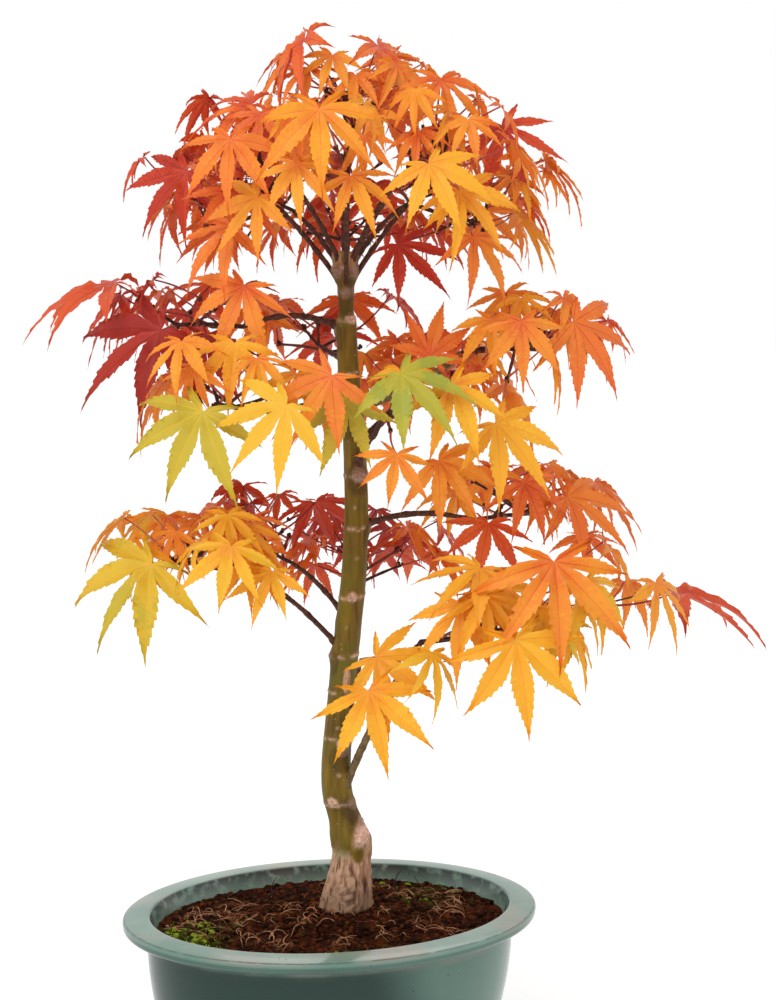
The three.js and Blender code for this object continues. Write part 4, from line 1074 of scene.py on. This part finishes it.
def pose_leaf(node, hub, turn, droop, roll, size):
    """A leaf on its stalk from node to hub, with its plain blade and stalk as straight pieces."""
    lobe = direction(turn, -droop)
    droop, roll = math.radians(droop), math.radians(roll)
    flat = direction(turn, 0) * math.sin(droop) + UP * math.cos(droop)
    normal = flat * math.cos(roll) + np.cross(lobe, flat) * math.sin(roll)
    side = np.cross(normal, lobe)
    rim = hub + size * (RIM @ np.array([lobe, side, normal]))
    blade = np.stack([np.broadcast_to(hub, rim.shape), rim], 1)
    pieces = np.concatenate([blade, [[node, hub]]])
    return dict(node=node, hub=hub, axes=np.array([lobe, side, normal]), size=size, pieces=pieces)


def try_leaf(mass, mass_index, spray_index, leaf_index, attempt):
    """A twig's leaf of this number, as the seed of this attempt gives it."""
    row, spray = mass["row"], mass["sprays"][spray_index]
    place = mass_index * SEEDS["mass"] + spray_index * SEEDS["spray"] + leaf_index * SEEDS["leaf"]
    draw = seeded(place + attempt * SEEDS["attempt"] + 1)
    start, end = spray["ends"]
    node = end + (start - end) * (leaf_index * TWIG["step"] / np.linalg.norm(start - end))
    if spray["leader"] and leaf_index == 0:
        _, hub, turn, droop, roll, size, _ = spray["leader"]
        shift = [LEADER["shift"]] * 3 + [LEADER["swing"]] * 2
        moved = [(draw() - 0.5) * most if attempt else 0 for most in shift]
        return pose_leaf(node, hub + np.array(moved[:3]), turn + moved[3], droop + moved[4], roll, size)
    along = unit((node - start) * [1, 1, 0])
    outward = unit((node - trunk_middle(min(node[2], TRUNK["top"]))) * [1, 1, 0])
    blend = along + outward * OUTWARD
    base = math.degrees(math.atan2(blend[1], blend[0]))
    swing = SWINGS[leaf_index % len(SWINGS)]
    azimuth = base + swing + (draw() - 0.5) * PLAY["azimuth"]
    climb = CLIMB["least"] + draw() * CLIMB["spare"]
    length = STALK["least"] + draw() * STALK["spare"]
    hub = node + direction(azimuth, climb) * length
    turn = base + swing * SWING_FOLLOW + (draw() - 0.5) * PLAY["azimuth"]
    droop = row["droop"] + (draw() - 0.5) * PLAY["droop"]
    roll = (draw() - 0.5) * PLAY["roll"]
    size = row["size"] * (SIZE["least"] + draw() * SIZE["spare"])
    return pose_leaf(node, hub, turn, droop, roll, size)


def twig_pieces(mass):
    return np.array([mass["start"], mass["stem"]] + [spray["ends"] for spray in mass["sprays"]])


class Thicket:
    """What a new leaf has to keep clear of."""

    def __init__(self, masses):
        self.masses = masses
        self.limbs, self.limb_radii = limb_pieces()
        self.hubs, self.sizes, self.owners, self.sprays, self.leaves = [], [], [], [], []

    def settle(self):
        self.twigs = np.concatenate([twig_pieces(mass) for mass in self.masses])
        counts = [len(mass["sprays"]) for mass in self.masses]
        owners = [(m, s) for m, count in enumerate(counts) for s in range(-2, count)]
        self.twig_owners = np.array(owners)

    def keep(self, leaf, mass_index, spray_index):
        self.hubs.append(leaf["hub"])
        self.sizes.append(leaf["size"])
        self.owners.append(mass_index)
        self.sprays.append(spray_index)
        self.leaves.append(leaf["pieces"])

    def keep_light(self):
        """Open space over the face of each leaf so far, as limbs that nothing may touch."""
        leaves = [leaf for mass in self.masses for leaf in mass["leaves"]]
        steps = (LIGHT["from"], LIGHT["to"])
        ends = [[leaf["hub"] + leaf["axes"][2] * step for step in steps] for leaf in leaves]
        self.limbs = np.concatenate([self.limbs, ends])
        radii = [LIGHT["wide"] * leaf["size"] for leaf in leaves]
        self.limb_radii = np.concatenate([self.limb_radii, radii])

    def fits(self, leaf, mass_index, spray_index, room=ROOM):
        pieces = leaf["pieces"]
        if pieces[:, 1, 2].min() < POT["height"] + room["pot"]:
            return False
        if (apart(pieces, self.limbs) < self.limb_radii + room["limb"]).any():
            return False
        own = self.twig_owners[:, 0] == mass_index
        far = apart(pieces, self.twigs[~own])
        if (far < TWIG["radius"] + room["limb"]).any():
            return False
        mine = own & (self.twig_owners[:, 1] != spray_index)
        if (apart(pieces[:-1], self.twigs[mine]) < TWIG["radius"]).any():
            return False
        if not self.hubs:
            return True
        gaps = np.linalg.norm(np.array(self.hubs) - leaf["hub"], axis=1)
        for k in np.flatnonzero(gaps <= ROOM["far"] * (np.array(self.sizes) + leaf["size"])):
            same = self.owners[k] == mass_index
            least = room["leaf"] if same else room["mass"]
            other = self.leaves[k]
            close = apart(pieces, other) < least
            if same and self.sprays[k] == spray_index:
                close[-1, -1] = False
            if close.any():
                return False
        return True


def limb_pieces():
    """The boughs and the trunk as straight pieces, with their radii."""
    pieces, radii = [], []
    for row in ROWS:
        points = bough_points(row)
        for start, end in zip(points, points[1:]):
            pieces.append((start, end))
            radii.append(row["thick"])
    height = POT["height"]
    while height < TRUNK["top"]:
        after = min(TRUNK["top"], height + TRUNK["step"])
        pieces.append((trunk_middle(height), trunk_middle(after)))
        radii.append(trunk_radius(height))
        height += TRUNK["step"]
    return np.array(pieces), np.array(radii)


def lay_out():
    """Twigs that cross others are left out. Then the leading leaves take their places, and each
    mass in turn gets one more leaf, until every twig has been round with each of its leaves."""
    masses = [lay_twigs(row) for row in ROWS]
    thicket = Thicket(masses)
    for mass in masses:
        kept = [spray for spray in mass["sprays"] if spray["leader"]]
        others = np.concatenate([twig_pieces(other) for other in masses if other is not mass])
        for spray in mass["sprays"]:
            if spray["leader"]:
                continue
            start, end = spray["ends"]
            outer = np.array([[start + (end - start) * TWIG["outer"], end]])
            whole = spray["ends"][None]
            near = np.array([mass["stem"]] + [one["ends"] for one in kept])
            if (
                (apart(whole, others) > ROOM["twig"]).all()
                and (apart(whole, thicket.limbs) > thicket.limb_radii + ROOM["twig"]).all()
                and (apart(outer, near) > ROOM["twig"]).all()
            ):
                kept.append(spray)
        mass["sprays"] = kept
    thicket.settle()

    def place(mass_index, spray_index, leaf_index):
        mass = masses[mass_index]
        leads = mass["sprays"][spray_index]["leader"] and leaf_index == 0
        for attempt in range(TRIES):
            leaf = try_leaf(mass, mass_index, spray_index, leaf_index, attempt)
            if thicket.fits(leaf, mass_index, spray_index):
                leaf.update(spray=spray_index, index=leaf_index, led=bool(leads))
                mass["leaves"].append(leaf)
                thicket.keep(leaf, mass_index, spray_index)
                return

    for mass_index, mass in enumerate(masses):
        for spray_index, spray in enumerate(mass["sprays"]):
            if spray["leader"]:
                place(mass_index, spray_index, 0)
    thicket.keep_light()
    most = max(len(mass["sprays"]) for mass in masses)
    for leaf_index in range(len(SWINGS)):
        for spray_index in range(most):
            for mass_index, mass in enumerate(masses):
                if spray_index >= len(mass["sprays"]):
                    continue
                if mass["sprays"][spray_index]["leader"] and leaf_index == 0:
                    continue
                place(mass_index, spray_index, leaf_index)
    return masses, thicket


# The finer growth: side twigs at these shares of a twig, turned by so much, as long as so much
# of it, each with leaves of this share of the mass's size.
FINE = dict(
    shares=(0.45, 0.75), turns=(46, -42), long=0.5, leaves=2, size=0.84, tries=14, thick=0.66,
)
FINE_ROOM = dict(mass=2.0, leaf=1.3, limb=1.5, pot=2)


def grow_finer(masses, thicket):
    """Side twigs on every twig, each with small leaves where there is still room, within the
    reach that the mass has already."""
    for mass_index, mass in enumerate(masses):
        reach = np.concatenate([leaf["pieces"][:, 1] for leaf in mass["leaves"]])
        low, high = reach.min(0), reach.max(0)
        mass["fine"] = []
        for spray_index, spray in enumerate(mass["sprays"]):
            start, end = spray["ends"]
            for k, (share, turn) in enumerate(zip(FINE["shares"], FINE["turns"])):
                draw = seeded(7 * mass_index + 131 * spray_index + 17 * k + 5)
                run = end - start
                heading = math.degrees(math.atan2(run[1], run[0])) + turn + (draw() - 0.5) * 30
                climb = 10 + draw() * 25
                root = start + run * share
                long = FINE["long"] * max(12.0, np.linalg.norm(run)) * (0.7 + 0.5 * draw())
                tip = root + direction(heading, climb) * long
                twig = dict(ends=np.array([root, tip]), leader=None)
                fine = dict(row=mass["row"], sprays={0: twig})
                grown = False
                for leaf_index in range(FINE["leaves"]):
                    for attempt in range(FINE["tries"]):
                        seed_index = 500 + 40 * spray_index + 4 * k + leaf_index
                        leaf = try_leaf(fine, mass_index * 31 + seed_index, 0, leaf_index, attempt)
                        leaf = pose_again(leaf, FINE["size"])
                        rim = leaf["pieces"][:, 1]
                        inside = (rim > low - 1).all() and (rim < high + 1).all()
                        if inside and thicket.fits(leaf, mass_index, spray_index, FINE_ROOM):
                            leaf.update(spray=spray_index, index=3 + 2 * k + leaf_index, led=False)
                            mass["leaves"].append(leaf)
                            thicket.keep(leaf, mass_index, spray_index)
                            grown = True
                            break
                if grown:
                    mass["fine"].append((root, tip))


def pose_again(leaf, share):
    """The same leaf at a share of its size."""
    size = leaf["size"] * share
    rim = leaf["hub"] + size * (RIM @ leaf["axes"])
    pieces = leaf["pieces"].copy()
    pieces[:-1, 1] = rim
    return {**leaf, "size": size, "pieces": pieces}


# ---- Leaves ---------------------------------------------------------------------------------

# A leaf's mesh: each lobe has columns from its one edge to its other, with its rib between the
# third and the fourth, rings round the leaf's middle as far as the clefts, and stations from
# there to each tip.
COLUMNS = np.array([-1, -0.52, -0.08, 0.08, 0.52, 1])
RING_SHARES = (0.38, 0.72, 1.0)
CLEFT = 0.175
STATIONS = (7, 15, 21, 23, 21, 15, 7)
LOBE_WIDTH = dict(swell=8.2, taper=1.9, fullest=0.9, root=0.95)
TOOTH = dict(out=0.14, back=0.05, ahead=1.0, least=0.4)
GATHER = dict(led=(0.9, 1.0), grown=(0.74, 0.98))
RIB = dict(wide=0.005, thin=0.6, redder=1.5, green=8.5)
VARIETIES = 12
LOBES = len(LEAF["lobes"])
RING_POINTS = LOBES * (len(COLUMNS) - 1) + 1
RIB_COLUMNS = (2, 3)
BACK_CLEFT = 26
LOBE_PLAY = dict(turn=4, length=(0.9, 1.06), width=(0.88, 1.14), cleft=(0.88, 1.12), bend=0.07)


def leaf_variety(seed):
    """One leaf laid flat with its middle lobe a unit long. Gives its points, for each its lobe,
    how far along the lobe it is beyond the cleft, and how far to the lobe's side."""
    random = np.random.default_rng(seed)
    angles = np.array([angle for angle, _ in LEAF["lobes"]], dtype=float)
    lengths = np.array([length for _, length in LEAF["lobes"]])
    play = LOBE_PLAY["turn"]
    angles = angles + random.uniform(-play, play, LOBES) * [1, 1, 1, 0.6, 1, 1, 1]
    lengths = lengths * random.uniform(*LOBE_PLAY["length"], LOBES)
    widths = random.uniform(*LOBE_PLAY["width"], LOBES)
    between = (angles[1:] + angles[:-1]) / 2
    bounds = np.concatenate([[angles[0] - BACK_CLEFT], between, [angles[-1] + BACK_CLEFT]])
    clefts = CLEFT * np.array([0.42, 0.84, 1, 1, 1, 1, 0.84, 0.42])
    clefts = clefts * random.uniform(*LOBE_PLAY["cleft"], LOBES + 1)
    fulls = np.where(lengths > 0.6, 1.12, 0.75) * CLEFT
    points, lobes, runs, sides = [np.zeros(2)], [3], [0.0], [0.0]

    def put(spot, lobe, run, side):
        points.append(spot)
        lobes.append(lobe)
        runs.append(run)
        sides.append(side)

    for share in RING_SHARES:
        for lobe in range(LOBES):
            for column in range(len(COLUMNS) - (lobe < LOBES - 1)):
                side = COLUMNS[column]
                edge = bounds[lobe] if side < 0 else bounds[lobe + 1]
                cleft = clefts[lobe] if side < 0 else clefts[lobe + 1]
                full = fulls[lobe]
                if column in RIB_COLUMNS:
                    turn, reach = angles[lobe], full
                    rib = RIB["wide"] * np.sign(side)
                else:
                    turn = angles[lobe] + (edge - angles[lobe]) * abs(side)
                    reach, rib = full + (cleft - full) * abs(side) ** 1.5, 0
                turn = math.radians(turn)
                spot = share * reach * np.array([math.cos(turn), math.sin(turn)])
                spot = spot + rib * np.array([-math.sin(turn), math.cos(turn)])
                put(spot, lobe, 0.0, side * share)
    for lobe in range(LOBES):
        turn = math.radians(angles[lobe])
        ahead = np.array([math.cos(turn), math.sin(turn)])
        across = np.array([-ahead[1], ahead[0]])
        full = fulls[lobe]
        bend = random.uniform(-LOBE_PLAY["bend"], LOBE_PLAY["bend"])
        count = STATIONS[lobe]
        teeth = random.random((count, 2))
        for station in range(1, count):
            share = station / count
            for column, side in enumerate(COLUMNS):
                cleft = clefts[lobe] if side < 0 else clefts[lobe + 1]
                edge = bounds[lobe] if side < 0 else bounds[lobe + 1]
                root = cleft * abs(math.sin(math.radians(edge - angles[lobe])))
                wide = widths[lobe] * LOBE_WIDTH["root"] * root * (1 - share) ** LOBE_WIDTH["taper"]
                full_size = min(1, lengths[lobe] / LOBE_WIDTH["fullest"]) ** 1.5
                wide = wide * (1 + LOBE_WIDTH["swell"] * full_size * share)
                along = share
                if abs(side) == 1:
                    tooth = TOOTH["least"] + (1 - TOOTH["least"]) * teeth[station, int(side > 0)]
                    tooth = tooth * min(1, 4 * share) * (station % 2)
                    wide = wide * (1 + TOOTH["out"] * tooth if tooth else 1 - TOOTH["back"])
                    start = cleft * math.cos(math.radians(edge - angles[lobe])) / lengths[lobe]
                    along = share + TOOTH["ahead"] * tooth / count
                    along = along - (1 - share) ** 3 * max(0, full / lengths[lobe] - start) * 0.9
                offset = side * wide
                if column in RIB_COLUMNS:
                    offset = np.sign(side) * RIB["wide"] * (1 - RIB["thin"] * share)
                reach = full + (lengths[lobe] - full) * along
                spot = ahead * reach + across * (offset + bend * share**2 * lengths[lobe])
                put(spot, lobe, share, side)
        put(ahead * lengths[lobe] + across * bend * lengths[lobe], lobe, 1.0, 0.0)
    return np.array(points), np.array(lobes), np.array(runs), np.array(sides)


def leaf_faces():
    """The triangles that every variety shares, and for each its lobe, how far along it is, and
    whether it is rib, 0, inner, 1, or edge, 2."""
    faces, lobes, runs, bands = [], [], [], []
    band_of = (2, 1, 0, 1, 2)

    def put(corners, lobe, run, column):
        faces.append(corners)
        lobes.append(lobe)
        runs.append(run)
        bands.append(band_of[column])

    def strip(low, high, lobe, run):
        for column in range(len(COLUMNS) - 1):
            a, b, c, d = low[column], low[column + 1], high[column + 1], high[column]
            put((a, d, c), lobe, run, column)
            put((a, c, b), lobe, run, column)

    def ring(number, lobe):
        first = 1 + number * RING_POINTS + lobe * (len(COLUMNS) - 1)
        return [first + column for column in range(len(COLUMNS))]

    for lobe in range(LOBES):
        inner = ring(0, lobe)
        for column in range(len(COLUMNS) - 1):
            put((0, inner[column], inner[column + 1]), lobe, -0.4, column)
        for number in range(len(RING_SHARES) - 1):
            strip(ring(number, lobe), ring(number + 1, lobe), lobe, -0.3 + 0.15 * number)
    at = 1 + RING_POINTS * len(RING_SHARES)
    for lobe in range(LOBES):
        low = ring(len(RING_SHARES) - 1, lobe)
        for station in range(1, STATIONS[lobe]):
            high = list(range(at, at + len(COLUMNS)))
            strip(low, high, lobe, (station - 0.5) / STATIONS[lobe])
            low, at = high, at + len(COLUMNS)
        for column in range(len(COLUMNS) - 1):
            put((at, low[column + 1], low[column]), lobe, 1.0, column)
        at += 1
    return np.array(faces), np.array(lobes), np.array(runs), np.array(bands)


CURL = dict(least=-0.02, most=0.18, start=0.35)
FOLD = dict(least=0.15, most=0.7)
TWIST = 0.45
SAG = 0.04
RIPPLE = 0.008
# front and front_span: how far tints go redder and darker towards a mass's back, partly painted shade.
TINT_PLAY = dict(spray=1.0, leaf=0.6, lobe=0.35, face=0.16, front=1.6, front_span=80)


def leaf_tint(mass, spray_index, leaf, random):
    """A leaf's tint: its mass's, changed by spray and by leaf, and redder and darker towards the back,
    partly the leaf's own colour and partly painted shade.
    """
    row = mass["row"]
    if leaf["led"]:
        return mass["sprays"][spray_index]["leader"][6]
    middle = mass["stem"][1][1]
    # Behind its mass's middle a leaf's tint goes redder and darker, in front yellower: partly the
    # leaves' own colour, partly painted shade.
    front = (middle - leaf["hub"][1]) / TINT_PLAY["front_span"]
    spray = mass["tints"][spray_index]
    play = random.uniform(-1, 1) * TINT_PLAY["leaf"]
    return row["tint"] + spray + play + TINT_PLAY["front"] * np.clip(front, -1, 1)


def shape_leaf(leaf, variety, mirrored, random):
    """A variety's points as one leaf: gathered, folded, twisted, rippled, drooping and curled."""
    flat, lobes, runs, sides = variety
    flat = flat * ([1, -1] if mirrored else [1, 1])
    reach = np.hypot(*flat.T)
    gather = random.uniform(*GATHER["led" if leaf["led"] else "grown"])
    spread = np.arctan2(flat[:, 1], flat[:, 0]) * gather
    flat = np.column_stack([np.cos(spread), np.sin(spread)]) * reach[:, None]
    droops = LEAF["droop"] * random.uniform(0.8, 1.5) * random.uniform(0.8, 1.25, LOBES)
    curls = random.uniform(CURL["least"], CURL["most"], LOBES)
    twists = random.uniform(-TWIST, TWIST, LOBES)
    fold = random.uniform(FOLD["least"], FOLD["most"])
    bulge = np.abs(sides) * 0.1 * np.minimum(1, reach / 0.2)
    curled = np.maximum(0, runs - CURL["start"]) ** 2 / (1 - CURL["start"]) ** 2
    drop = droops[lobes] * reach**2 + curls[lobes] * curled
    rise = fold * bulge * (1 - runs) ** 0.5
    rise = rise + twists[lobes] * sides * 0.1 * (1 - runs) * (runs > 0)
    ripple = RIPPLE * np.sin(runs * 25 + sides * 3 + lobes) * np.abs(sides) * (runs > 0)
    shape = np.column_stack([flat, rise + ripple - drop])
    points = leaf["hub"] + leaf["size"] * (shape @ leaf["axes"])
    return to_row(points - UP * (SAG * leaf["size"] * reach**2)[:, None])


def colour_faces(base, lobes, runs, bands, random):
    """The number of each face's tint. From its leaf's tint it goes its own way by lobe, at the
    tips, at the heart and by a speckle, and is redder on the ribs."""
    shift = random.uniform(-1, 1, LOBES) * TINT_PLAY["lobe"] * np.clip(8.6 - base, 0.5, 1)
    tip_shift = random.uniform(-0.9, 0.5)
    heart_shift = random.uniform(-1.3, 0.3)
    tint = base + shift[lobes] + tip_shift * np.maximum(0, runs) ** 2
    tint = tint + heart_shift * np.clip((0.3 - runs) / 0.7, 0, 1)
    speckle = TINT_PLAY["face"] * np.clip(8.2 - base, 0.25, 1)
    tint = tint + random.uniform(-1, 1, len(runs)) * speckle
    rib = (bands == 0) & (runs < 0.85)
    ribbed = RIB["redder"] * np.clip((RIB["green"] - base) / 2, 0.3, 1)
    tint = tint - ribbed * rib * (1 - 0.5 * np.maximum(0, runs))
    return np.clip(np.rint(tint * TINT_STEP), 0, len(TINTS) - 1).astype(int)


def make_leaves(masses):
    """Every leaf, in the piece of its family of tints."""
    random = np.random.default_rng(20)
    varieties = [leaf_variety(seed) for seed in range(VARIETIES)]
    faces, lobes, runs, bands = leaf_faces()
    tint_looks = [leaf_looks(f"leaf_tint_{k}", colour) for k, colour in enumerate(TINTS)]
    heaps = {name: Heap() for name, _, _ in FAMILIES}
    for mass in masses:
        mass["tints"] = [random.uniform(-1, 1) * TINT_PLAY["spray"] for _ in mass["sprays"]]
        for leaf in mass["leaves"]:
            variety = varieties[random.integers(VARIETIES)]
            mirrored = random.random() < 0.5
            points = shape_leaf(leaf, variety, mirrored, random)
            base = leaf_tint(mass, leaf["spray"], leaf, random)
            number = colour_faces(base, lobes, runs, bands, random)
            family = next(name for name, most, _ in FAMILIES if base < most)
            heaps[family].add(points, faces[:, ::-1] if mirrored else faces, number)
            leaf["stalk_tint"] = 0 if base < 3.2 else 1 if base < 5.6 else 2
    for name, _, slot in FAMILIES:
        add_heap(f"foliage_{name}", slot, MASS_NODES, heaps[name], tint_looks)


# ---- Twigs and leaf stalks ------------------------------------------------------------------


def bent(start, end, steps, bow, draw):
    """A line from start to end that bows to a side by a share of its length."""
    run = end - start
    side = np.cross(run, [draw() - 0.5, draw() - 0.5, draw() - 0.5])
    side = side / max(1e-6, np.linalg.norm(side)) * np.linalg.norm(run) * bow
    share = np.linspace(0, 1, steps)[:, None]
    return start + run * share + side * 4 * share * (1 - share)


BUDS = 3


def make_twigs(masses):
    """Stems and twigs, with a swelling at each twig's end, where its buds and stalks sit."""
    heap = Heap()
    ball, ball_faces = lump()
    for mass_index, mass in enumerate(masses):
        draw = seeded(900 + mass_index)
        tip = bough_points(mass["row"])[-1]
        root, end = mass["stem"]
        thick = mass["row"]["thick"] * BOUGH["taper"]
        line = np.concatenate([[tip], bent(root, end, 10, 0.03, draw)])
        points, faces = tube(line, np.linspace(thick, 1.0, 11), 8)
        heap.add(to_row(points), faces, 0)
        leafy = {leaf["spray"] for leaf in mass["leaves"]}
        twigs = [(spray["ends"], 1.0) for k, spray in enumerate(mass["sprays"]) if k in leafy]
        twigs += [(ends, FINE["thick"]) for ends in mass["fine"]]
        for (start, end), share in twigs:
            line = bent(start, end, 8, 0.035, draw)
            radii = TWIG["radius"] * share * np.linspace(0.86, 0.52, 8)
            radii[-1] *= 1.5
            radii[4] *= 1.2
            points, faces = tube(line, radii, 6)
            heap.add(to_row(points), faces, int(draw() * 1.99))
            for _ in range(BUDS):
                spin = np.array([draw() - 0.5, draw() - 0.5, draw() - 0.3])
                size = (0.7 + 0.5 * draw()) * share
                bud = end + spin * 2 + ball * size * [1, 1, 1.5]
                heap.add(to_row(bud), ball_faces, 0)
    looks = [
        wood_looks("twig_brown", "#2f1710", "#5f372a"),
        wood_looks("twig_red", "#5a231c", "#8a4a38"),
    ]
    add_heap("twigs_bark", "bough", MASS_NODES, heap, looks)


STALK_COLOURS = [("stalk_red", "#8f2420"), ("stalk_rust", "#b04430"), ("stalk_pink", "#b9664a")]


def make_stalks(masses):
    """A thin stalk for every leaf, thickest where it leaves the twig."""
    heap = Heap()
    for mass_index, mass in enumerate(masses):
        draw = seeded(1900 + mass_index)
        for leaf in mass["leaves"]:
            line = bent(leaf["node"], leaf["hub"] - leaf["axes"][2] * 0.2, 9, 0.05, draw)
            radii = STALK["radius"] * np.linspace(1.25, 0.8, 9)
            radii[0] *= 1.4
            points, faces = tube(line, radii, 5)
            heap.add(to_row(points), faces, leaf["stalk_tint"])
    looks = [leaf_looks(*one, 0.4) for one in STALK_COLOURS]
    add_heap("leaf_stalks", "leaf_red", MASS_NODES, heap, looks)


# ---- Camera, light and floor ----------------------------------------------------------------


def make_camera():
    """The front view, in the plant's frame."""
    camera = bpy.data.objects.new("camera", bpy.data.cameras.new("camera"))
    camera.data.lens = CAMERA["lens"]
    camera.data.clip_start = 0.01
    camera.location = Vector(to_row([CAMERA["place"]])[0])
    camera.rotation_euler = (math.radians(90 + CAMERA["pitch"]), 0, PLANT_TURN)
    bpy.context.scene.collection.objects.link(camera)
    bpy.context.scene.camera = camera


def make_lights():
    """A white backdrop all round, softer light from overhead, and one large key light."""
    world = bpy.data.worlds.new("studio")
    bpy.context.scene.world = world
    world.use_nodes = True
    tree = world.node_tree
    place = tree.nodes.new("ShaderNodeTexCoord")
    apart_of = tree.nodes.new("ShaderNodeSeparateXYZ")
    tree.links.new(place.outputs["Generated"], apart_of.inputs[0])
    fade = tree.nodes.new("ShaderNodeMapRange")
    for socket, number in zip(fade.inputs[1:5], (*WORLD["fade"], 1.0, WORLD["over"])):
        socket.default_value = number
    tree.links.new(apart_of.outputs["Z"], fade.inputs[0])
    background = tree.nodes["Background"]
    background.inputs["Color"].default_value = (1, 1, 1, 1)
    tree.links.new(fade.outputs[0], background.inputs["Strength"])
    for name, place, power, size in LAMPS:
        light = bpy.data.lights.new(name, "AREA")
        light.energy = power
        light.size = size
        obj = bpy.data.objects.new(name, light)
        obj.location = Vector(to_row([place])[0])
        aim = Vector(LAMP_AIM) - obj.location
        obj.rotation_euler = aim.to_track_quat("-Z", "Y").to_euler()
        bpy.context.scene.collection.objects.link(obj)
    bpy.context.scene.view_settings.view_transform = "Standard"


def make_floor():
    """A pale floor that glows a little, so that it melts into the backdrop."""
    looks = Looks("floor", FLOOR["colour"], 0.9)
    looks.link(looks.span(looks.noise(3, 3), 0.3, 0.7, 0.85, 0.95), "Roughness")
    looks.set("Emission Color", (1, 1, 1, 1)).set("Emission Strength", FLOOR["glow"])
    far = FLOOR["half"]
    corners = np.array([(-far, -far, 0), (far, -far, 0), (far, far, 0), (-far, far, 0)], dtype=float)
    floor = add_mesh("floor", corners, [(0, 1, 2), (0, 2, 3)], [looks.material])


make_camera()
make_lights()
make_floor()
make_pot()
make_soil(seeded(11))
make_trunk()
make_boughs()
plant, thicket = lay_out()
grow_finer(plant, thicket)
make_leaves(plant)
make_twigs(plant)
make_stalks(plant)
